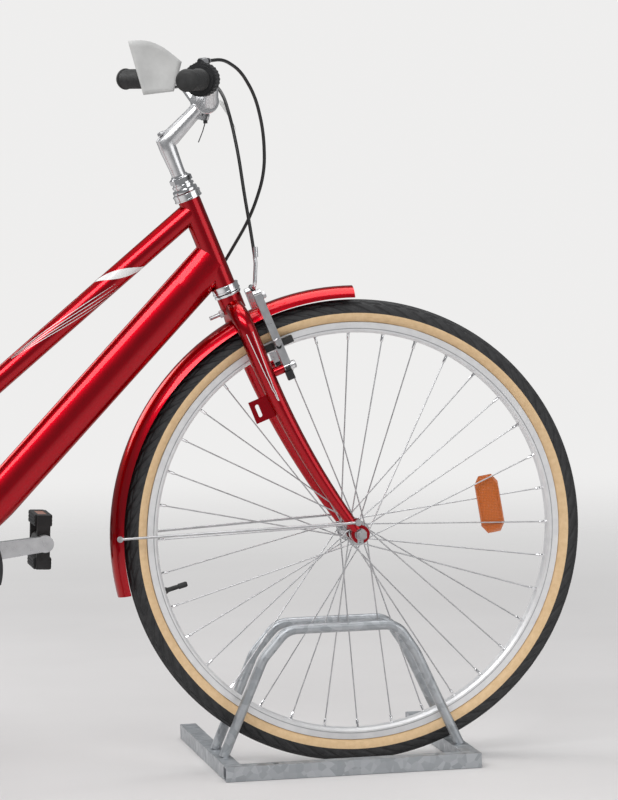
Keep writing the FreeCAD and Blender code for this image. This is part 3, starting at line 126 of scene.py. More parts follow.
def add_node(material, kind, **values):
    node = material.node_tree.nodes.new(kind)
    for key, value in values.items():
        setattr(node, key, value)
    return node


def link(material, source, target):
    material.node_tree.links.new(source, target)


def shader_of(material):
    return material.node_tree.nodes["Principled BSDF"]


def object_position(material):
    return add_node(material, "ShaderNodeTexCoord").outputs["Object"]


def noise(material, scale, detail=3.0, roughness=0.55):
    """A noise texture in object metres."""
    texture = add_node(material, "ShaderNodeTexNoise")
    texture.inputs["Scale"].default_value = scale
    texture.inputs["Detail"].default_value = detail
    texture.inputs["Roughness"].default_value = roughness
    link(material, object_position(material), texture.inputs["Vector"])
    return texture.outputs["Fac"]


def ramp(material, factor, stops):
    """A colour ramp over a factor; stops are (place, colour)."""
    node = add_node(material, "ShaderNodeValToRGB")
    elements = node.color_ramp.elements
    while len(elements) < len(stops):
        elements.new(0.5)
    for element, (place, colour) in zip(elements, stops):
        element.position = place
        element.color = (*colour, 1.0)
    link(material, factor, node.inputs["Fac"])
    return node.outputs["Color"]


def bump(material, height, strength, distance):
    node = add_node(material, "ShaderNodeBump")
    node.inputs["Strength"].default_value = strength
    node.inputs["Distance"].default_value = distance
    link(material, height, node.inputs["Height"])
    link(material, node.outputs["Normal"], shader_of(material).inputs["Normal"])


def vary_roughness(material, factor, low, high):
    node = add_node(material, "ShaderNodeMapRange")
    node.inputs["To Min"].default_value = low
    node.inputs["To Max"].default_value = high
    link(material, factor, node.inputs["Value"])
    link(material, node.outputs["Result"], shader_of(material).inputs["Roughness"])


def tinted(material, scale, dark, light, detail=4.0):
    """A base colour that wanders between two tints."""
    colour = ramp(material, noise(material, scale, detail), [(0.3, dark), (0.7, light)])
    link(material, colour, shader_of(material).inputs["Base Color"])


def make_red_paint():
    """Candy red: fine metal flake under a deep clear coat."""
    material = new_material("red_paint", Metallic=1.0, Coat_Weight=0.8, Coat_Roughness=0.03,
                            Coat_IOR=1.4, Specular_Tint=(0.45, 0.02, 0.03, 1.0))
    tinted(material, 900.0, (0.40, 0.0, 0.006), (0.47, 0.0, 0.010), 2.0)
    vary_roughness(material, noise(material, 60.0), 0.28, 0.36)
    bump(material, noise(material, 140.0, 2.0), 0.01, 0.0003)


def make_metal(name, dark, light, low, high, grain, strength, metallic=1.0):
    """Bare metal between two tints, with its roughness from low to high."""
    material = new_material(name, Metallic=metallic)
    tinted(material, grain, dark, light)
    vary_roughness(material, noise(material, grain * 2.0, 4.0, 0.6), low, high)
    bump(material, noise(material, grain * 4.0, 3.0, 0.6), strength, 0.0004)


def make_dull(name, dark, light, low, high, grain, strength):
    """Rubber, plastic, paint or paper: two tints, a roughness from low to high and a fine grain."""
    material = new_material(name)
    tinted(material, grain / 6.0, dark, light)
    vary_roughness(material, noise(material, grain), low, high)
    bump(material, noise(material, grain), strength, 0.0006)


def make_galvanised():
    """Zinc coating: crystal spangle in slightly different greys."""
    material = new_material("galvanised_steel", Metallic=0.75)
    cells = add_node(material, "ShaderNodeTexVoronoi")
    cells.inputs["Scale"].default_value = 95.0
    link(material, object_position(material), cells.inputs["Vector"])
    separate = add_node(material, "ShaderNodeSeparateColor")
    link(material, cells.outputs["Color"], separate.inputs["Color"])
    colour = ramp(material, separate.outputs["Red"],
                  [(0.0, (0.36, 0.38, 0.40)), (1.0, (0.50, 0.52, 0.54))])
    link(material, colour, shader_of(material).inputs["Base Color"])
    vary_roughness(material, separate.outputs["Green"], 0.34, 0.52)
    bump(material, noise(material, 240.0), 0.06, 0.0006)


def make_reflector(name, colour):
    """Moulded plastic with a fine grid of prisms, whose low grooves are coloured darker as painted shade."""
    material = new_material(name, Roughness=0.12, Transmission_Weight=0.25, IOR=1.49,
                            Coat_Weight=0.6, Coat_Roughness=0.05)
    waves = []
    for direction in ("X", "Z"):
        wave = add_node(material, "ShaderNodeTexWave", wave_type="BANDS", bands_direction=direction)
        wave.inputs["Scale"].default_value = 130.0
        link(material, object_position(material), wave.inputs["Vector"])
        waves.append(wave.outputs["Fac"])
    both = add_node(material, "ShaderNodeMath", operation="MULTIPLY")
    link(material, waves[0], both.inputs[0])
    link(material, waves[1], both.inputs[1])
    # painted shade: where the prism grid's bump height is lowest, the colour drops to 0.6 of itself
    dark = tuple(0.6 * c for c in colour)
    link(material, ramp(material, both.outputs["Value"], [(0.0, dark), (1.0, colour)]),
         shader_of(material).inputs["Base Color"])
    bump(material, both.outputs["Value"], 0.5, 0.0008)


make_red_paint()
make_metal("chrome", (0.72, 0.72, 0.73), (0.86, 0.86, 0.87), 0.05, 0.12, 60.0, 0.008)
make_metal("polished_alloy", (0.70, 0.70, 0.71), (0.82, 0.82, 0.83), 0.24, 0.34, 70.0, 0.012)
make_metal("steel", (0.46, 0.46, 0.47), (0.60, 0.60, 0.61), 0.34, 0.46, 80.0, 0.03)
make_metal("rim_alloy", (0.80, 0.80, 0.81), (0.90, 0.90, 0.90), 0.34, 0.44, 60.0, 0.01, metallic=0.55)
make_galvanised()
make_dull("black_rubber", (0.012, 0.012, 0.012), (0.028, 0.028, 0.028), 0.5, 0.7, 500.0, 0.2)
make_dull("black_plastic", (0.012, 0.012, 0.013), (0.024, 0.024, 0.026), 0.32, 0.48, 700.0, 0.12)
make_dull("black_metal", (0.012, 0.012, 0.013), (0.03, 0.03, 0.032), 0.22, 0.34, 300.0, 0.05)
make_dull("cable_housing", (0.008, 0.008, 0.008), (0.016, 0.016, 0.016), 0.25, 0.36, 400.0, 0.05)
make_dull("tyre", (0.016, 0.016, 0.017), (0.034, 0.034, 0.035), 0.55, 0.75, 600.0, 0.25)
make_dull("tan_wall", (0.70, 0.48, 0.26), (0.80, 0.57, 0.33), 0.6, 0.75, 700.0, 0.15)
make_dull("saddle_cover", (0.014, 0.014, 0.015), (0.03, 0.03, 0.032), 0.36, 0.5, 900.0, 0.35)
make_dull("white_paint", (0.74, 0.74, 0.74), (0.84, 0.84, 0.83), 0.2, 0.3, 200.0, 0.02)
make_dull("paper", (0.56, 0.56, 0.55), (0.64, 0.64, 0.63), 0.55, 0.7, 300.0, 0.05)
make_reflector("orange_reflector", (0.95, 0.22, 0.02))
make_reflector("red_reflector", (0.7, 0.01, 0.01))
RIM_NODES = ("front_rim", "rear_rim")


def dress_nodes():
    """Every CAD node gets the material of its slot, and the rims an alloy of their own."""
    for part in frame["record"]["subparts"]:
        name = "rim_alloy" if part["node"] in RIM_NODES else part["material_slot"]
        mesh = NODES[part["node"]].data
        mesh.materials.clear()
        mesh.materials.append(MATERIALS[name])


dress_nodes()

# ------------------------------------------------------------------ mesh helpers
SHARP_ANGLE = math.radians(40.0)
OFF_AXIS = Vector((0.31, 0.17, 0.93))  # never parallel to a round piece's axis
BOX_CORNERS = ((-1, -1, -1), (1, -1, -1), (1, 1, -1), (-1, 1, -1),
               (-1, -1, 1), (1, -1, 1), (1, 1, 1), (-1, 1, 1))
BOX_FACES = ((0, 3, 2, 1), (4, 5, 6, 7), (0, 1, 5, 4), (1, 2, 6, 5), (2, 3, 7, 6), (3, 0, 4, 7))
WORLD_AXES = (Vector((1.0, 0.0, 0.0)), LEFT, Vector((0.0, 0.0, 1.0)))


def circle(centre, direction, radius, sides):
    direction = direction.normalized()
    across = direction.cross(OFF_AXIS)
    across.normalize()
    other = direction.cross(across)
    return [centre + across * (radius * math.cos(2 * math.pi * k / sides))
            + other * (radius * math.sin(2 * math.pi * k / sides)) for k in range(sides)]


def new_piece(name, vertices, faces, material, body, smooth=True):
    """A mesh object that rides on a body."""
    mesh = bpy.data.meshes.new(name)
    mesh.from_pydata([tuple(v) for v in vertices], [], faces)
    mesh.update()
    piece = bpy.data.objects.new(name, mesh)
    bpy.context.scene.collection.objects.link(piece)
    mesh.materials.append(MATERIALS[material])
    if smooth:
        mesh.polygons.foreach_set("use_smooth", [True] * len(mesh.polygons))
        mesh.set_sharp_from_angle(angle=SHARP_ANGLE)
    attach(piece, body)
    return piece


class Builder:
    """Collects many small solids into one mesh."""

    def __init__(self):
        self.vertices = []
        self.faces = []

    def add(self, vertices, faces):
        base = len(self.vertices)
        self.vertices += vertices
        self.faces += [tuple(index + base for index in face) for face in faces]

    def rings(self, rings, closed=False):
        """Skin rings that all have as many points; the ends are capped unless the rings close."""
        count = len(rings[0])
        faces = []
        last = len(rings) if closed else len(rings) - 1
        for row in range(last):
            following = (row + 1) % len(rings)
            for column in range(count):
                after = (column + 1) % count
                faces.append((row * count + column, row * count + after,
                              following * count + after, following * count + column))
        if not closed:
            faces.append(tuple(reversed(range(count))))
            faces.append(tuple((len(rings) - 1) * count + index for index in range(count)))
        self.add([point for ring in rings for point in ring], faces)

    def rod(self, start, end, radius, sides):
        self.rings([circle(point, end - start, radius, sides) for point in (start, end)])

    def lathe(self, start, direction, profile, sides):
        """A turned solid; the profile is (distance along, radius)."""
        self.rings([circle(start + direction * along, direction, radius, sides)
                    for along, radius in profile])

    def tube(self, points, radius, sides):
        rings = []
        for index, point in enumerate(points):
            before = points[max(index - 1, 0)]
            after = points[min(index + 1, len(points) - 1)]
            rings.append(circle(point, after - before, radius, sides))
        self.rings(rings)

    def strip(self, points):
        """A flat strip; the points come in pairs, one on each edge."""
        self.add(points, [(2 * k, 2 * k + 1, 2 * k + 3, 2 * k + 2) for k in range(len(points) // 2 - 1)])

    def box(self, centre, half, axes=WORLD_AXES):
        corners = []
        for signs in BOX_CORNERS:
            corner = centre.copy()
            for sign, axis, reach in zip(signs, axes, half):
                corner += axis * (sign * reach)
            corners.append(corner)
        self.add(corners, BOX_FACES)

    def bolt(self, seat, direction, size, height):
        """A bolt's round head with a chamfered edge and a socket."""
        self.lathe(seat, direction, [(0.0, size), (height * 0.75, size), (height, size * 0.85),
                                     (height, size * 0.5), (height * 0.4, size * 0.46)], 18)

    def nut(self, seat, direction, across, height):
        """A hexagon nut with a chamfered top."""
        corner = across / math.sqrt(3.0)
        self.lathe(seat, direction, [(0.0, corner), (height * 0.8, corner), (height, corner * 0.86)], 6)

    def piece(self, name, material, body, slot=None, smooth=True):
        return new_piece(name, self.vertices, self.faces, material, body, smooth)


def wheel_point(axle, radius, angle, y=0.0):
    return Vector((axle.x + radius * math.cos(angle), y, axle.z + radius * math.sin(angle)))


# ------------------------------------------------------------------ tyres
TYRE_RADIUS = 0.349
TYRE_SECTION = 0.0185
TYRE_STEPS = 432                       # round the wheel
SECTION_STEPS = 40                     # round the tyre's section, from bead to bead
BEAD_ANGLE = math.radians(144.0)
TREAD_HALF_ANGLE = math.radians(90.0)
TAN_FROM = math.radians(98.0)
GROOVE_DEPTH = 0.0018
WALL_INSET = 0.0004
GROOVES_ROUND = (2, 6)                 # section steps from the middle of the tread


def tread_depth(step, place, around):
    """Grooves: two round the tyre on each side, and slanted cuts that reach the shoulders."""
    if abs(around) > TREAD_HALF_ANGLE:
        return WALL_INSET
    from_middle = abs(place - SECTION_STEPS // 2)
    slanted_cut = (step + from_middle) % 6 < 2 and from_middle > GROOVES_ROUND[0]
    return GROOVE_DEPTH if from_middle in GROOVES_ROUND or slanted_cut else 0.0


def make_tyre(end, axle):
    """Black tread with cut blocks on tan side walls, as two materials on one mesh."""
    section = [BEAD_ANGLE * (2 * place / SECTION_STEPS - 1) for place in range(SECTION_STEPS + 1)]
    row = len(section)
    vertices = []
    faces = []
    for step in range(TYRE_STEPS):
        following = (step + 1) % TYRE_STEPS
        for place, around in enumerate(section):
            section_radius = TYRE_SECTION - tread_depth(step, place, around)
            radius = TYRE_RADIUS - TYRE_SECTION + section_radius * math.cos(around)
            vertices.append(wheel_point(axle, radius, 2 * math.pi * step / TYRE_STEPS,
                                        section_radius * math.sin(around)))
            after = (place + 1) % row
            faces.append((step * row + place, following * row + place,
                          following * row + after, step * row + after))
    piece = new_piece(end + "_tyre_tread", vertices, faces, "tyre", end + "_wheel", smooth=False)
    piece.data.materials.append(MATERIALS["tan_wall"])
    for index, polygon in enumerate(piece.data.polygons):
        around = section[index % row]
        polygon.material_index = 0 if abs(around) < TAN_FROM else 1
        polygon.use_smooth = abs(around) > TREAD_HALF_ANGLE
    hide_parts(end + "_tyre")


# ------------------------------------------------------------------ saddle
SADDLE_LOW, SADDLE_HIGH = (Vector(corner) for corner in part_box("saddle"))
SADDLE_STATIONS = 44
SADDLE_AROUND = 40
PIPING_STEPS = 60
# angle round the section, first and last share of the length, radius, sides
SADDLE_PIPING = ((14.0, 0.03, 0.97, 0.0011, 8), (166.0, 0.03, 0.97, 0.0011, 8),
                 (52.0, 0.10, 0.92, 0.0007, 6), (128.0, 0.10, 0.92, 0.0007, 6))


def smooth_step(value):
    value = max(0.0, min(1.0, value))
    return value * value * (3 - 2 * value)


def saddle_half_width(share):
    """Share of the saddle's half width: a narrow nose, wide wings and a drawn-in tail."""
    nose = 0.235 + 0.075 * smooth_step(share / 0.3)
    flare = smooth_step((share - 0.34) / 0.44)
    tail = 1.0 - 0.30 * smooth_step((share - 0.88) / 0.12)
    return max(nose, nose + (0.99 * flare - nose) * flare) * tail


def saddle_crown_drop(share):
    """How far the crown lies below the saddle's highest point."""
    return 0.006 * (1 - smooth_step(share / 0.2)) + 0.004 * math.sin(math.pi * share) + 0.001


def saddle_point(share, angle):
    """A point on the saddle's skin: share runs nose to tail, angle runs round its section."""
    x = SADDLE_HIGH.x - (SADDLE_HIGH.x - SADDLE_LOW.x) * (0.004 + 0.992 * share)
    half = saddle_half_width(share) * (SADDLE_HIGH.y - SADDLE_LOW.y) / 2.0
    depth = 0.030 + 0.016 * smooth_step((share - 0.2) / 0.4)
    under = SADDLE_HIGH.z - saddle_crown_drop(share) - depth
    end_round = min(1.0, math.sqrt(max(0.0, 1 - (abs(share - 0.5) * 2) ** 14)) + 0.05)
    cosine, sine = math.cos(angle), math.sin(angle)
    y = half * math.copysign(abs(cosine) ** 0.75, cosine)
    if sine >= 0:
        channel = 0.0035 * math.exp(-(y / 0.010) ** 2) * smooth_step((share - 0.15) / 0.2)
        rise = depth * (0.32 + 0.68 * sine ** 0.8) - channel * sine
    else:
        rise = depth * 0.32 * (1 - abs(sine) ** 0.5)
    return Vector((x, y * end_round, under + rise * (0.25 + 0.75 * end_round)))


def make_saddle():
    """A wide padded saddle with a centre channel, smoothed by subdivision, and its edge piping."""
    builder = Builder()
    builder.rings([[saddle_point(row / SADDLE_STATIONS, 2 * math.pi * index / SADDLE_AROUND)
                    for index in range(SADDLE_AROUND)] for row in range(SADDLE_STATIONS + 1)])
    saddle = builder.piece("saddle_cushion", "saddle_cover", "frame", "saddle_cover")
    modifier = saddle.modifiers.new("smooth", "SUBSURF")
    modifier.levels = modifier.render_levels = 1
    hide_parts("saddle")
    piping = Builder()
    for degrees, first, last, radius, sides in SADDLE_PIPING:
        edge = [saddle_point(first + (last - first) * step / PIPING_STEPS, math.radians(degrees))
                for step in range(PIPING_STEPS + 1)]
        piping.tube(edge, radius, sides)
    piping.piece("saddle_piping", "black_rubber", "frame", "black_rubber")


# ------------------------------------------------------------------ shapes read from the frame
def islands(node):
    """The points of each separate solid of a node, in metres."""
    mesh = NODES[node].data
    placed = NODES[node].matrix_world
    parent = list(range(len(mesh.vertices)))

    def root(index):
        while parent[index] != index:
            parent[index] = parent[parent[index]]
            index = parent[index]
        return index

    def join(one, two):
        parent[root(one)] = root(two)

    for edge in mesh.edges:
        join(*edge.vertices)
    by_place = {}
    for vertex in mesh.vertices:
        key = tuple(round(c, 5) for c in vertex.co)
        by_place.setdefault(key, []).append(vertex.index)
    for same in by_place.values():
        for index in same[1:]:
            join(same[0], index)
    groups = {}
    for vertex in mesh.vertices:
        groups.setdefault(root(vertex.index), []).append(placed @ vertex.co)
    return list(groups.values())


def mean(points):
    total = Vector((0.0, 0.0, 0.0))
    for point in points:
        total += point
    return total / len(points)


def from_axle(point, axle):
    return math.hypot(point.x - axle.x, point.z - axle.z)


# ------------------------------------------------------------------ wheels
RIM_SEAT_RADIUS = 0.2995
NIPPLE_LENGTH = 0.012
NIPPLE_RADIUS = 0.0021
SPOKE_END = 0.006                      # points this near an end of a spoke give its middle there
VALVE_AT = {"front": 195.0, "rear": 75.0}
RIM_LINE_STEPS = 180
RIM_LINE_LOW = 0.3052
RIM_LINE_HIGH = 0.3066
RIM_LINE_WALL = 0.01262
RIM_LINE_DEPTH = 0.0003
REFLECTOR_OUTLINE = ((-0.55, -1.0), (0.55, -1.0), (1.0, -0.72), (1.0, 0.72), (0.55, 1.0),
                     (-0.55, 1.0), (-1.0, 0.72), (-1.0, -0.72))
REFLECTOR_CHAMFER = 0.90
SURROUND_RISE = 0.0012
SURROUND_SUNK = 0.0006


def make_nipples(end, axle):
    """A spoke nipple on each spoke where it meets the rim."""
    profile = [(0.0, NIPPLE_RADIUS * 1.3), (0.0012, NIPPLE_RADIUS * 1.3), (0.0016, NIPPLE_RADIUS),
               (NIPPLE_LENGTH - 0.001, NIPPLE_RADIUS), (NIPPLE_LENGTH, NIPPLE_RADIUS * 0.7)]
    builder = Builder()
    for points in islands(end + "_spokes"):
        reach = max(from_axle(point, axle) for point in points)
        hub = min(from_axle(point, axle) for point in points)
        outer = mean([point for point in points if from_axle(point, axle) > reach - SPOKE_END])
        inner = mean([point for point in points if from_axle(point, axle) < hub + SPOKE_END])
        along = (inner - outer).normalized()
        start = outer + along * (from_axle(outer, axle) - RIM_SEAT_RADIUS)
        builder.lathe(start, along, profile, 8)
    builder.piece(end + "_nipples", "chrome", end + "_wheel", "chrome")


def make_valve(end, axle):
    """A rubber-covered valve with its cap, on the rim's inner side."""
    angle = math.radians(VALVE_AT[end])
    inward = Vector((-math.cos(angle), 0.0, -math.sin(angle)))
    base = wheel_point(axle, RIM_SEAT_RADIUS + 0.001, angle)
    stem = [(0.0, 0.0058), (0.003, 0.0052), (0.006, 0.0036), (0.022, 0.0034), (0.0225, 0.0043),
            (0.034, 0.0043), (0.036, 0.0032)]
    builder = Builder()
    builder.lathe(base, inward, stem, 14)
    builder.piece(end + "_valve", "black_rubber", end + "_wheel", "black_rubber")


def make_rim_lines(end, axle):
    """The fine wear line on both walls of the rim, as shallow raised bands."""
    builder = Builder()
    for side in (-1, 1):
        rings = []
        for step in range(RIM_LINE_STEPS):
            angle = 2 * math.pi * step / RIM_LINE_STEPS
            wall = RIM_LINE_WALL * side
            sunk = (RIM_LINE_WALL - RIM_LINE_DEPTH) * side
            rings.append([wheel_point(axle, radius, angle, y) for radius, y in (
                (RIM_LINE_LOW, sunk), (RIM_LINE_LOW, wall), (RIM_LINE_HIGH, wall), (RIM_LINE_HIGH, sunk))])
        builder.rings(rings, closed=True)
    builder.piece(end + "_rim_lines", "steel", end + "_wheel", "steel")


def make_spoke_reflector(end, axle):
    """A faceted orange lens in a thin surround, long along the tyre, in place of the CAD reflector."""
    node = end + "_wheel_reflector"
    low, high = (Vector(corner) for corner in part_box(node))
    centre = (low + high) / 2.0
    half_thick = (high.y - low.y) / 2.0
    points = [point for group in islands(node) for point in group]
    angle = math.atan2(centre.z - axle.z, centre.x - axle.x)
    radial = Vector((math.cos(angle), 0.0, math.sin(angle)))
    tangent = Vector((-math.sin(angle), 0.0, math.cos(angle)))
    half_width = max(abs((point - centre).dot(radial)) for point in points)
    half_length = max(abs((point - centre).dot(tangent)) for point in points)

    def outline(share, y):
        return [centre + radial * (across * half_width * share) + tangent * (along * half_length * share)
                + LEFT * y for across, along in REFLECTOR_OUTLINE]

    builder = Builder()
    builder.rings([outline(REFLECTOR_CHAMFER, -half_thick), outline(1.0, -half_thick * 0.55),
                   outline(1.0, half_thick * 0.55), outline(REFLECTOR_CHAMFER, half_thick)])
    for side in (-1, 1):
        builder.rings([outline(share, side * (half_thick + rise - SURROUND_SUNK)) for share, rise in (
            (0.80, 0.0), (0.80, SURROUND_RISE), (0.72, SURROUND_RISE), (0.72, 0.0))], closed=True)
    piece = builder.piece(end + "_reflector_lens", "orange_reflector", end + "_wheel",
                          "orange_reflector", smooth=False)
    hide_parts(node)


# ------------------------------------------------------------------ chain
CHAIN_PITCH = 0.0127
CHAINRING_TEETH = 38
SPROCKET_TEETH = 18
CHAIN_LINE = -0.044
CHAINRING_RADIUS = CHAIN_PITCH / (2 * math.sin(math.pi / CHAINRING_TEETH))
SPROCKET_RADIUS = CHAIN_PITCH / (2 * math.sin(math.pi / SPROCKET_TEETH))
CHAIN_SPAN = math.hypot(CRANK_AXLE.x - REAR_AXLE.x, CRANK_AXLE.z - REAR_AXLE.z)
CHAIN_HEADING = math.atan2(CRANK_AXLE.z - REAR_AXLE.z, CRANK_AXLE.x - REAR_AXLE.x)
CHAIN_TILT = math.asin((CHAINRING_RADIUS - SPROCKET_RADIUS) / CHAIN_SPAN)
CHAIN_STRAIGHT = CHAIN_SPAN * math.cos(CHAIN_TILT)
FRONT_ARC = (math.pi + 2 * CHAIN_TILT) * CHAINRING_RADIUS
REAR_ARC = (math.pi - 2 * CHAIN_TILT) * SPROCKET_RADIUS
CHAIN_LENGTH = 2 * CHAIN_STRAIGHT + FRONT_ARC + REAR_ARC
LINK_RADIUS = 0.0041
LINK_HALF_WAIST = 0.0029
INNER_PLATE = (0.0021, 0.0030)         # from the chain's middle plane to the plate's two faces
OUTER_PLATE = (0.0031, 0.0040)
PIN_RADIUS = 0.0017
ROLLER_RADIUS = 0.0036
ROLLER_HALF_WIDTH = 0.0020


def on_circle(centre, radius, angle):
    return Vector((centre.x + radius * math.cos(angle), CHAIN_LINE, centre.z + radius * math.sin(angle)))


def chain_place(distance):
    """A point on the chain's pitch line, by distance along the loop from the sprocket's top."""
    top = CHAIN_HEADING + CHAIN_TILT
    if distance < CHAIN_STRAIGHT:
        start = on_circle(REAR_AXLE, SPROCKET_RADIUS, top + math.pi / 2)
        return start + Vector((math.cos(top), 0, math.sin(top))) * distance
    distance -= CHAIN_STRAIGHT
    if distance < FRONT_ARC:
        return on_circle(CRANK_AXLE, CHAINRING_RADIUS, top + math.pi / 2 - distance / CHAINRING_RADIUS)
    distance -= FRONT_ARC
    bottom = CHAIN_HEADING - CHAIN_TILT
    if distance < CHAIN_STRAIGHT:
        start = on_circle(CRANK_AXLE, CHAINRING_RADIUS, bottom - math.pi / 2)
        return start - Vector((math.cos(bottom), 0, math.sin(bottom))) * distance
    distance -= CHAIN_STRAIGHT
    return on_circle(REAR_AXLE, SPROCKET_RADIUS,
                     bottom - math.pi / 2 - min(distance, REAR_ARC) / SPROCKET_RADIUS)


def link_outline(start, end, along, across, y):
    """Two round ends with a waist between them."""
    outline = []
    for centre, begin, side in ((end, -90.0, 1), (start, 90.0, -1)):
        for part in range(7):
            turn = math.radians(begin + 30.0 * part)
            outline.append(centre + (along * math.cos(turn) + across * math.sin(turn)) * LINK_RADIUS
                           + LEFT * y)
        outline.append((start + end) / 2.0 + across * (side * LINK_HALF_WAIST) + LEFT * y)
    return outline


def make_chain_links():
    """Inner and outer links in turn, with their pins and rollers."""
    builder = Builder()
    count = 2 * round(CHAIN_LENGTH / CHAIN_PITCH / 2)
    step = CHAIN_LENGTH / count
    for number in range(count):
        start = chain_place(number * step)
        end = chain_place(((number + 1) * step) % CHAIN_LENGTH)
        along = (end - start).normalized()
        across = along.cross(LEFT)
        for side in (-1, 1):
            builder.rings([link_outline(start, end, along, across, side * y)
                           for y in (INNER_PLATE if number % 2 else OUTER_PLATE)])
        pin = LEFT * OUTER_PLATE[1]
        roller = LEFT * ROLLER_HALF_WIDTH
        builder.rod(start - pin, start + pin, PIN_RADIUS, 8)
        builder.rod(start - roller, start + roller, ROLLER_RADIUS, 10)
    links = builder.piece("chain_links", "steel", "frame", "steel")
    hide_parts("chain")


# ------------------------------------------------------------------ paint lines
TOP_TUBE_RADIUS = 0.016
TOP_TUBE_START = 0.541                 # along the steering axis
TOP_TUBE_END = 0.158                   # along the seat tube, from the crank axle
SEAT_ANGLE = math.radians(71.0)
SEAT_UP = Vector((-math.cos(SEAT_ANGLE), 0.0, math.sin(SEAT_ANGLE)))
TOP_TUBE_HIGH = steer(TOP_TUBE_START)
TOP_TUBE_DOWN = (Vector((CRANK_AXLE.x, 0.0, CRANK_AXLE.z)) + SEAT_UP * TOP_TUBE_END
                 - TOP_TUBE_HIGH).normalized()
TOP_TUBE_UP = LEFT.cross(TOP_TUBE_DOWN).normalized()
LINE_LIFT = 0.0002
BAND_AT = 0.146                        # along the top tube from its upper end
BAND_SLANT = -0.064
BAND_HALF = 0.0125
BAND_STEPS = 24
LINES_AT = 0.160
LINES_LENGTH = 0.19
LINE_STEPS = 40
LINE_WIDTH = 0.0010
LINE_HALF_ANGLE = math.degrees(LINE_WIDTH / 2.0 / TOP_TUBE_RADIUS)
FORK_LINES_TOP = 0.345                 # along the steering axis
FORK_LINES_LOW = 0.235
FORK_LINE_STEPS = 30
FORK_LINE_WIDTH = 0.0010
BLADE_OUTSIDE = 0.051                  # nearer the middle, a ray met a boss or the lamp tab


def on_top_tube(along, around):
    """A point on the tube's skin; around is 0 on top and 90 on the rider's left side."""
    turn = math.radians(around)
    radius = TOP_TUBE_RADIUS + LINE_LIFT
    return (TOP_TUBE_HIGH + TOP_TUBE_DOWN * along + TOP_TUBE_UP * (radius * math.cos(turn))
            + LEFT * (radius * math.sin(turn)))


def make_top_tube_lines():
    """A slanted white band round the tube, and four fine lines that run out from it."""
    builder = Builder()
    for side in (-1, 1):
        band = []
        for step in range(BAND_STEPS + 1):
            share = step / BAND_STEPS
            along = BAND_AT + BAND_SLANT * (share - 0.5)
            around = side * (8.0 + 150.0 * share)
            half = BAND_HALF * math.sin(math.pi * (0.10 + 0.80 * share))
            band += [on_top_tube(along - half, around), on_top_tube(along + half, around)]
        builder.strip(band)
        for line in range(4):
            fine = []
            for step in range(LINE_STEPS + 1):
                share = step / LINE_STEPS
                along = LINES_AT + LINES_LENGTH * share
                around = side * (168.0 - 130.0 * share - line * (3.0 + 17.0 * (1.0 - share) ** 0.6))
                half = LINE_HALF_ANGLE * min(1.0, 4.0 * min(share, 1.0 - share) + 0.15)
                fine += [on_top_tube(along, around - half), on_top_tube(along, around + half)]
            builder.strip(fine)
    builder.piece("top_tube_lines", "white_paint", "frame")


def blade_surface(along, ahead, side):
    """The fork blade's outer skin beside a point of the steering plane, or None."""
    fork = NODES["fork"]
    inverse = fork.matrix_world.inverted()
    start = steer(along, ahead, side * 0.13)
    direction = inverse.to_3x3() @ (LEFT * -side)
    hit, place, _, _ = fork.ray_cast(inverse @ start, direction)
    if not hit:
        return None
    place = fork.matrix_world @ place
    return place + LEFT * (side * LINE_LIFT) if abs(place.y) > BLADE_OUTSIDE else None


def blade_middle(along, side):
    """How far ahead of the steering axis the blade's middle lies."""
    offsets = [step * 0.001 for step in range(-25, 60)]
    met = [offset for offset in offsets if blade_surface(along, offset, side)]
    return (min(met) + max(met)) / 2.0


def make_fork_lines():
    """Two fine lines down each blade that run together towards the axle."""
    builder = Builder()
    for side in (-1, 1):
        for lean in (-1, 1):
            line = []
            for step in range(FORK_LINE_STEPS + 1):
                share = step / FORK_LINE_STEPS
                along = FORK_LINES_TOP + (FORK_LINES_LOW - FORK_LINES_TOP) * share
                centre = blade_middle(along, side) + lean * (0.0045 * (1 - share) + 0.0006)
                for edge in (-0.5, 0.5):
                    line.append(blade_surface(along, centre + edge * FORK_LINE_WIDTH, side))
            builder.strip(line)
    builder.piece("fork_lines", "white_paint", "front_end")


# ------------------------------------------------------------------ grips and controls
RIB_PITCH = 0.0042
FIRST_RIB = 0.010
AFTER_RIBS = 0.010
SHIFTER_RIBS = 26
SHIFTER_RADIUS = 0.0241
SHIFTER_HALF_LENGTH = 0.0125
SHIFTER_GAP = 0.0085                   # from the grip's inner end


def grip_ends(points):
    """The outer and the inner end of a grip, on its axis."""
    centre = mean(points)
    far = max(points, key=lambda point: (point - centre).length)
    direction = (far - centre).normalized()
    for _ in range(12):
        total = Vector((0.0, 0.0, 0.0))
        for point in points:
            offset = point - centre
            total += offset * offset.dot(direction)
        direction = total.normalized()
    reach = [(point - centre).dot(direction) for point in points]
    ends = (centre + direction * min(reach), centre + direction * max(reach))
    return sorted(ends, key=lambda end: -abs(end.y))


def make_ribbed_grips():
    """Soft grips with finger ribs and a flanged, domed outer end."""
    builder = Builder()
    for points in islands("grips"):
        outer, inner = grip_ends(points)
        length = (inner - outer).length
        axis = (inner - outer).normalized()
        profile = [(0.0, 0.0), (0.0002, 0.0085), (0.0012, 0.0128), (0.0030, 0.0158), (0.0052, 0.0166),
                   (0.0075, 0.0160), (0.0082, 0.0142)]
        for rib in range(int((length - FIRST_RIB - AFTER_RIBS) / RIB_PITCH)):
            base = FIRST_RIB + rib * RIB_PITCH
            profile += [(base, 0.0144), (base + 0.0007, 0.0153), (base + 0.0027, 0.0153),
                        (base + 0.0034, 0.0144)]
        profile += [(length - 0.008, 0.0146), (length - 0.006, 0.0164), (length - 0.001, 0.0164),
                    (length, 0.0155), (length, 0.0113)]
        builder.lathe(outer, axis, profile, 40)
    piece = builder.piece("ribbed_grips", "black_rubber", "front_end", "black_rubber")
    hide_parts("grips")


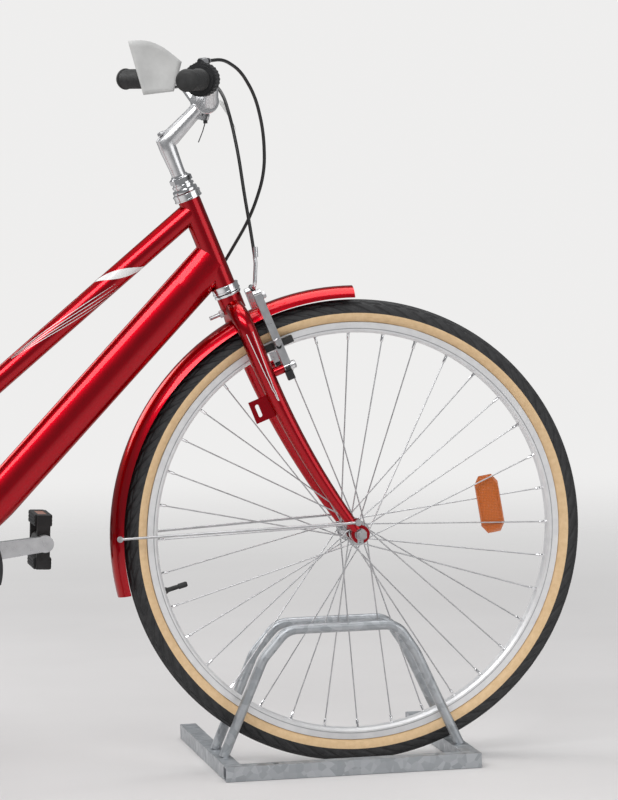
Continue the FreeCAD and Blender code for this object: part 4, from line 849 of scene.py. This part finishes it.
def make_shifter_ribs():
    """Raised bars round the twist shifter's drum."""
    outer, inner = grip_ends(min(islands("grips"), key=lambda group: mean(group).y))
    axis = (inner - outer).normalized()
    start = inner + axis * (SHIFTER_GAP + SHIFTER_HALF_LENGTH)
    side = axis.cross(Vector((0, 0, 1))).normalized()
    builder = Builder()
    for index in range(SHIFTER_RIBS):
        turn = 2 * math.pi * index / SHIFTER_RIBS
        out = side * math.cos(turn) + axis.cross(side) * math.sin(turn)
        builder.box(start + out * SHIFTER_RADIUS, (SHIFTER_HALF_LENGTH, 0.0011, 0.0007),
                    (axis, out.cross(axis), out))
    builder.piece("shifter_ribs", "black_rubber", "front_end", "black_rubber", smooth=False)


# ------------------------------------------------------------------ pedals
PEDAL_TILT = math.radians(3.0)
PEDAL_INNER = 0.084
PEDAL_WIDTH = 0.088
PEDAL_HALF_LENGTH = 0.041
PEDAL_HALF_THICKNESS = 0.013
TREAD_ROWS = 3
TREAD_COLUMNS = 9
TREAD_ROW_PITCH = 0.005
TREAD_COLUMN_PITCH = 0.0078
TREAD_HALF = (0.0009, 0.0027, 0.0014)
LENS_HALF = (0.0066, 0.0236, 0.0016)
LENS_BACK_HALF = (0.0069, 0.0238, 0.0005)


def make_pedal_details(side, body):
    """Tread ribs on both faces and an amber reflector in each end of the pedal."""
    low, high = (Vector(corner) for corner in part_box(body))
    up = Vector((math.sin(PEDAL_TILT), 0.0, math.cos(PEDAL_TILT)))
    ahead = Vector((math.cos(PEDAL_TILT), 0.0, -math.sin(PEDAL_TILT)))
    axes = (ahead, LEFT, up)
    ribs = Builder()
    lenses = Builder()
    backs = Builder()
    place = (low + high) / 2.0
    place.y = side * (PEDAL_INNER + PEDAL_WIDTH / 2.0)
    for end in (-1, 1):
        for face in (-1, 1):
            for row in range(TREAD_ROWS):
                height = end * (PEDAL_HALF_LENGTH - 0.0035 - TREAD_ROW_PITCH * row)
                for column in range(TREAD_COLUMNS):
                    y = (column - TREAD_COLUMNS // 2) * TREAD_COLUMN_PITCH
                    ribs.box(place + up * height + ahead * (face * PEDAL_HALF_THICKNESS) + LEFT * y,
                             TREAD_HALF, axes)
        lenses.box(place + up * (end * (PEDAL_HALF_LENGTH - 0.0018)), LENS_HALF, axes)
        backs.box(place + up * (end * (PEDAL_HALF_LENGTH - 0.0034)), LENS_BACK_HALF, axes)
    ribs.piece(body + "_tread", "black_plastic", body, "black_plastic", smooth=False)
    lenses.piece(body + "_reflectors", "orange_reflector", body, "orange_reflector", smooth=False)
    backs.piece(body + "_reflector_backs", "polished_alloy", body, "polished_alloy", smooth=False)


# ------------------------------------------------------------------ small front end pieces
LOCKNUT_BASE = 0.5698
CROWN_TOP = 0.4022


def make_headset_stack():
    """The adjusting cone, keyed washer and hexagon locknut, and the race on the fork's crown."""
    builder = Builder()
    builder.lathe(steer(LOCKNUT_BASE), STEER_UP, [
        (0.0, 0.0172), (0.0006, 0.0188), (0.0040, 0.0190), (0.0058, 0.0182), (0.0064, 0.0152),
        (0.0088, 0.0150), (0.0092, 0.0168), (0.0122, 0.0168), (0.0126, 0.0148), (0.0155, 0.0146),
        (0.0245, 0.0138), (0.0250, 0.0128), (0.0270, 0.0124), (0.0270, 0.0111)], 48)
    builder.nut(steer(LOCKNUT_BASE + 0.0155), STEER_UP, 0.030, 0.0085)
    builder.lathe(steer(CROWN_TOP), STEER_UP, [
        (0.0, 0.0150), (0.0004, 0.0200), (0.0012, 0.0205), (0.0040, 0.0205), (0.0050, 0.0190),
        (0.0050, 0.0150)], 48)
    stack = builder.piece("headset_stack", "chrome", "front_end", "chrome")
    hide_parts("headset_nuts")
    rings = Builder()
    for along, height in ((0.4088, 0.0022), (0.4165, 0.0020), (0.5585, 0.0020), (0.5660, 0.0024)):
        rings.lathe(steer(along), STEER_UP, [
            (0.0, 0.0200), (0.0004, 0.0213), (height - 0.0004, 0.0213), (height, 0.0200)], 48)
    rings.piece("headset_cup_rings", "chrome", "frame", "chrome")


STEM_ELBOW = 0.648                     # along the steering axis
STEM_REACH = Vector((0.060, 0.0, 0.060))
CLAMP_RADIUS = 0.0182
CLAMP_HALF = 0.022
CLAMP_CHAMFER = 0.0012
BAR_CENTRE_RADIUS = 0.0127
EAR_DROP = 0.0205
EAR_GAP = 0.0038                       # from the slot's middle to each ear's middle
EAR_HALF = (0.0026, 0.0085, 0.0075)
OVAL_SIDES = 36
# distance along, half height, half width
QUILL = ((0.560, 0.0108, 0.0108), (0.606, 0.0109, 0.0109), (0.622, 0.0118, 0.0114),
         (0.636, 0.0128, 0.0120))
STEM_ARM = ((0.012, 0.0134, 0.0122), (0.030, 0.0124, 0.0114), (0.055, 0.0110, 0.0106))


def oval(centre, direction, half_tall, half_wide):
    tall = LEFT.cross(direction).normalized()
    ring = []
    for index in range(OVAL_SIDES):
        turn = 2 * math.pi * index / OVAL_SIDES
        ring.append(centre + tall * (half_tall * math.cos(turn)) + LEFT * (half_wide * math.sin(turn)))
    return ring


def make_forged_stem():
    """Quill and arm as one forging with a mitred elbow, and a clamp with two ears and a bolt."""
    elbow = steer(STEM_ELBOW)
    clamp = elbow + STEM_REACH
    arm = STEM_REACH.normalized()
    bend = (STEER_UP + arm).normalized()
    builder = Builder()
    rings = [oval(steer(along), STEER_UP, tall, wide) for along, tall, wide in QUILL]
    rings.append(oval(elbow, bend, 0.0150, 0.0124))
    rings += [oval(elbow + arm * along, arm, tall, wide) for along, tall, wide in STEM_ARM]
    rings.append(oval(clamp - arm * 0.012, arm, 0.0112, 0.0124))
    builder.rings(rings)
    width = 2 * CLAMP_HALF
    builder.lathe(clamp - LEFT * CLAMP_HALF, LEFT, [
        (0.0, BAR_CENTRE_RADIUS), (0.0, CLAMP_RADIUS - CLAMP_CHAMFER), (CLAMP_CHAMFER, CLAMP_RADIUS),
        (width - CLAMP_CHAMFER, CLAMP_RADIUS), (width, CLAMP_RADIUS - CLAMP_CHAMFER),
        (width, BAR_CENTRE_RADIUS)], 48)
    down = Vector((-0.25, 0.0, -0.97)).normalized()
    ahead = down.cross(LEFT)
    ear = clamp + down * EAR_DROP
    for side in (-1, 1):
        builder.box(ear + ahead * (side * EAR_GAP), EAR_HALF, (ahead, LEFT, down))
    stem = builder.piece("forged_stem", "polished_alloy", "front_end", "polished_alloy")
    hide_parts("stem")
    bolts = Builder()
    bolt_at = ear + down * 0.0012
    outside = ahead * (EAR_GAP + EAR_HALF[0])
    bolts.rod(bolt_at - outside, bolt_at + outside, 0.003, 12)
    bolts.bolt(bolt_at - outside, -ahead, 0.0050, 0.0055)
    bolts.nut(bolt_at + outside, ahead, 0.010, 0.0050)
    bolts.bolt(elbow + STEER_UP * 0.0130, STEER_UP, 0.0070, 0.0050)
    bolts.piece("stem_bolts", "steel", "front_end", "steel")


def make_cable_tips():
    """Metal ferrules on the cable ends, the noodle's rubber boot and the bare cable's end."""
    metal = Builder()
    rubber = Builder()
    noodle = [point for group in islands("brake_noodle") for point in group]
    top = max(noodle, key=lambda point: point.z)
    low = min(noodle, key=lambda point: point.z)
    metal.rod(top + Vector((0, 0, -0.001)), top + Vector((-0.0005, 0, 0.014)), 0.0036, 14)
    rubber.tube([low + Vector((0.001, 0.004, 0.0)), low + Vector((0.001, 0.014, 0.001)),
                 low + Vector((0.001, 0.026, 0.003))], 0.0036, 12)
    gear_start = from_front(-0.232, -0.168, 1.060)
    gear_next = from_front(-0.204, -0.136, 1.062)
    along = (gear_next - gear_start).normalized()
    metal.lathe(gear_start - along * 0.020, along, [(0.0, 0.0040), (0.0, 0.0056), (0.013, 0.0056),
                                                    (0.014, 0.0046), (0.023, 0.0042), (0.024, 0.0026)], 18)
    metal.piece("cable_ferrules", "polished_alloy", "front_end", "polished_alloy")
    rubber.piece("brake_boot", "black_rubber", "front_end", "black_rubber")


PIVOT_HEIGHT = 0.274                   # along the steering axis
PIVOT_SIDE = 0.040
ANCHOR_ABOVE_PIVOT = 0.112
SHOE_HEIGHT = 0.3145


def make_brake_bolts():
    """Pivot bolts, shoe nuts and the cable anchor on the two brake arms."""
    builder = Builder()
    for side in (-1, 1):
        builder.bolt(steer(PIVOT_HEIGHT, 0.046, side * PIVOT_SIDE), STEER_AHEAD, 0.0062, 0.003)
        builder.nut(steer(PIVOT_HEIGHT + ANCHOR_ABOVE_PIVOT, 0.0425, side * 0.033), STEER_AHEAD,
                    0.010, 0.005)
        builder.nut(steer(SHOE_HEIGHT, 0.035, side * 0.0475), LEFT * side, 0.011, 0.007)
    crown_bolt = from_front(-0.186, 0.0, 0.6855)
    back = -STEER_AHEAD
    builder.rod(crown_bolt, crown_bolt + back * 0.026, 0.0030, 12)
    builder.nut(crown_bolt + back * 0.004, back, 0.011, 0.006)
    builder.piece("brake_bolts", "steel", "front_end", "steel")
    springs = Builder()
    for side in (-1, 1):
        seat = steer(PIVOT_HEIGHT - 0.002, 0.0395, side * PIVOT_SIDE)
        springs.lathe(seat, -STEER_AHEAD, [(0.0, 0.0080), (0.0004, 0.0098), (0.0085, 0.0098),
                                           (0.0090, 0.0080)], 24)
        lug = steer(PIVOT_HEIGHT - 0.012, 0.034, side * 0.048)
        springs.box(lug, (0.0055, 0.0045, 0.0065), (STEER_AHEAD, LEFT, STEER_UP))
    springs.piece("brake_springs", "black_plastic", "front_end", "black_plastic")


def paper_sheet(builder, corners, bulge, columns=12, rows=10):
    """A sheet between four corners (top left, top right, low right, low left), bowed out."""
    base = []
    for row in range(rows + 1):
        v = row / rows
        for column in range(columns + 1):
            u = column / columns
            top = corners[0].lerp(corners[1], u)
            low = corners[3].lerp(corners[2], u)
            arch = math.sin(math.pi * u)
            lift = Vector((0.0, bulge.y * math.sin(math.pi * v), bulge.z * (1.0 - v))) * arch
            base.append(top.lerp(low, v) + lift)
    faces = []
    for row in range(rows):
        for column in range(columns):
            a = row * (columns + 1) + column
            faces.append((a, a + 1, a + columns + 2, a + columns + 1))
    builder.add(base, faces)


def make_tags():
    """Two blank shop tags at the bar, and the plastic tie that holds one."""
    near = min(islands("grips"), key=lambda group: mean(group).y)
    hang = mean(near)
    builder = Builder()
    paper_sheet(builder, [hang + Vector((-0.080, 0.060, 0.058)), hang + Vector((0.000, 0.075, 0.026)),
                          hang + Vector((-0.012, 0.080, -0.016)), hang + Vector((-0.058, 0.070, -0.020))],
                Vector((0.0, 0.008, 0.012)))
    leaf = from_front(-0.180, 0.062, 1.000)
    paper_sheet(builder, [leaf, leaf + Vector((0.014, -0.002, -0.010)),
                          leaf + Vector((0.026, -0.010, -0.046)), leaf + Vector((0.022, -0.012, -0.036))],
                Vector((0.0, 0.003, 0.004)), 6, 6)
    tags = builder.piece("bar_tags", "paper", "front_end")
    thick = tags.modifiers.new("thick", "SOLIDIFY")
    thick.thickness = 0.0004
    tie = Builder()
    knot = steer(STEM_ELBOW) + STEM_REACH + Vector((-0.002, -0.014, -0.030))
    tie.tube([knot + Vector((0.004, 0.0, 0.014)), knot, knot + Vector((-0.005, -0.003, -0.014)),
              knot + Vector((-0.012, -0.004, -0.030))], 0.0008, 8)
    tie.box(knot, (0.0028, 0.0022, 0.0024))
    tie.piece("tag_tie", "black_plastic", "front_end", "black_plastic")


# ------------------------------------------------------------------ build
for make in (make_tyre, make_nipples, make_valve, make_rim_lines, make_spoke_reflector):
    make("front", FRONT_AXLE)
    make("rear", REAR_AXLE)
make_chain_links()
make_top_tube_lines()
make_fork_lines()
make_shifter_ribs()
make_ribbed_grips()
make_pedal_details(1, "left_pedal")
make_pedal_details(-1, "right_pedal")
make_headset_stack()
make_forged_stem()
make_cable_tips()
make_brake_bolts()
make_tags()
make_saddle()


# ------------------------------------------------------------------ floor, light, world
FLOOR_HALF = 60.0
FLOOR_BELOW = 0.0005
FADE_FROM = 1.2
FADE_TO = 4.5


def make_stage():
    """A pale floor that fades into the backdrop with distance and keeps its shadow near by."""
    mesh = bpy.data.meshes.new("floor")
    corners = [(x * FLOOR_HALF, y * FLOOR_HALF, 0.0) for x, y in ((-1, -1), (1, -1), (1, 1), (-1, 1))]
    mesh.from_pydata(corners, [], [(0, 1, 2, 3)])
    floor = bpy.data.objects.new("floor", mesh)
    bpy.context.scene.collection.objects.link(floor)
    floor.location.z = -FLOOR_BELOW
    material = new_material("pale_floor", Roughness=0.6)
    tinted(material, 2.0, (0.64, 0.625, 0.62), (0.68, 0.665, 0.66))
    geometry = add_node(material, "ShaderNodeNewGeometry")
    distance = add_node(material, "ShaderNodeVectorMath", operation="LENGTH")
    link(material, geometry.outputs["Position"], distance.inputs[0])
    fade = add_node(material, "ShaderNodeMapRange", interpolation_type="SMOOTHSTEP")
    fade.inputs["From Min"].default_value = FADE_FROM
    fade.inputs["From Max"].default_value = FADE_TO
    link(material, distance.outputs["Value"], fade.inputs["Value"])
    clear = add_node(material, "ShaderNodeBsdfTransparent")
    mix = add_node(material, "ShaderNodeMixShader")
    link(material, fade.outputs["Result"], mix.inputs["Fac"])
    link(material, shader_of(material).outputs["BSDF"], mix.inputs[1])
    link(material, clear.outputs["BSDF"], mix.inputs[2])
    link(material, mix.outputs["Shader"], material.node_tree.nodes["Material Output"].inputs["Surface"])
    mesh.materials.append(material)


def area_light(name, place, target, size, power, colour=(1.0, 1.0, 1.0)):
    data = bpy.data.lights.new(name, "AREA")
    data.shape = "RECTANGLE"
    data.size, data.size_y = size
    data.energy = power
    data.color = colour
    light = bpy.data.objects.new(name, data)
    bpy.context.scene.collection.objects.link(light)
    light.location = place
    light.rotation_euler = (Vector(target) - Vector(place)).to_track_quat("-Z", "Y").to_euler()


def make_world():
    """Pale to the camera, dimmer as a light, so that paint and metal keep dark reflections."""
    world = bpy.data.worlds.new("studio")
    bpy.context.scene.world = world
    world.use_nodes = True
    tree = world.node_tree
    seen = tree.nodes["Background"]
    seen.inputs["Color"].default_value = (0.86, 0.855, 0.85, 1.0)
    seen.inputs["Strength"].default_value = 1.0
    lit = tree.nodes.new("ShaderNodeBackground")
    lit.inputs["Color"].default_value = (0.95, 0.97, 1.0, 1.0)
    lit.inputs["Strength"].default_value = 0.24
    rays = tree.nodes.new("ShaderNodeLightPath")
    mix = tree.nodes.new("ShaderNodeMixShader")
    tree.links.new(rays.outputs["Is Camera Ray"], mix.inputs["Fac"])
    tree.links.new(lit.outputs["Background"], mix.inputs[1])
    tree.links.new(seen.outputs["Background"], mix.inputs[2])
    tree.links.new(mix.outputs["Shader"], tree.nodes["World Output"].inputs["Surface"])


make_stage()
make_world()
area_light("key", (-1.2, -2.6, 3.2), (0.2, 0.0, 0.5), (3.8, 1.4), 100.0)
area_light("top", (0.3, 0.6, 3.6), (0.2, 0.0, 0.4), (3.4, 2.6), 85.0)
area_light("fill", (3.2, -2.6, 1.6), (0.3, 0.0, 0.5), (3.0, 3.0), 34.0)
area_light("back", (-2.4, 2.8, 2.4), (0.2, 0.0, 0.6), (2.4, 1.6), 45.0)
bpy.context.scene.view_settings.view_transform = "Standard"
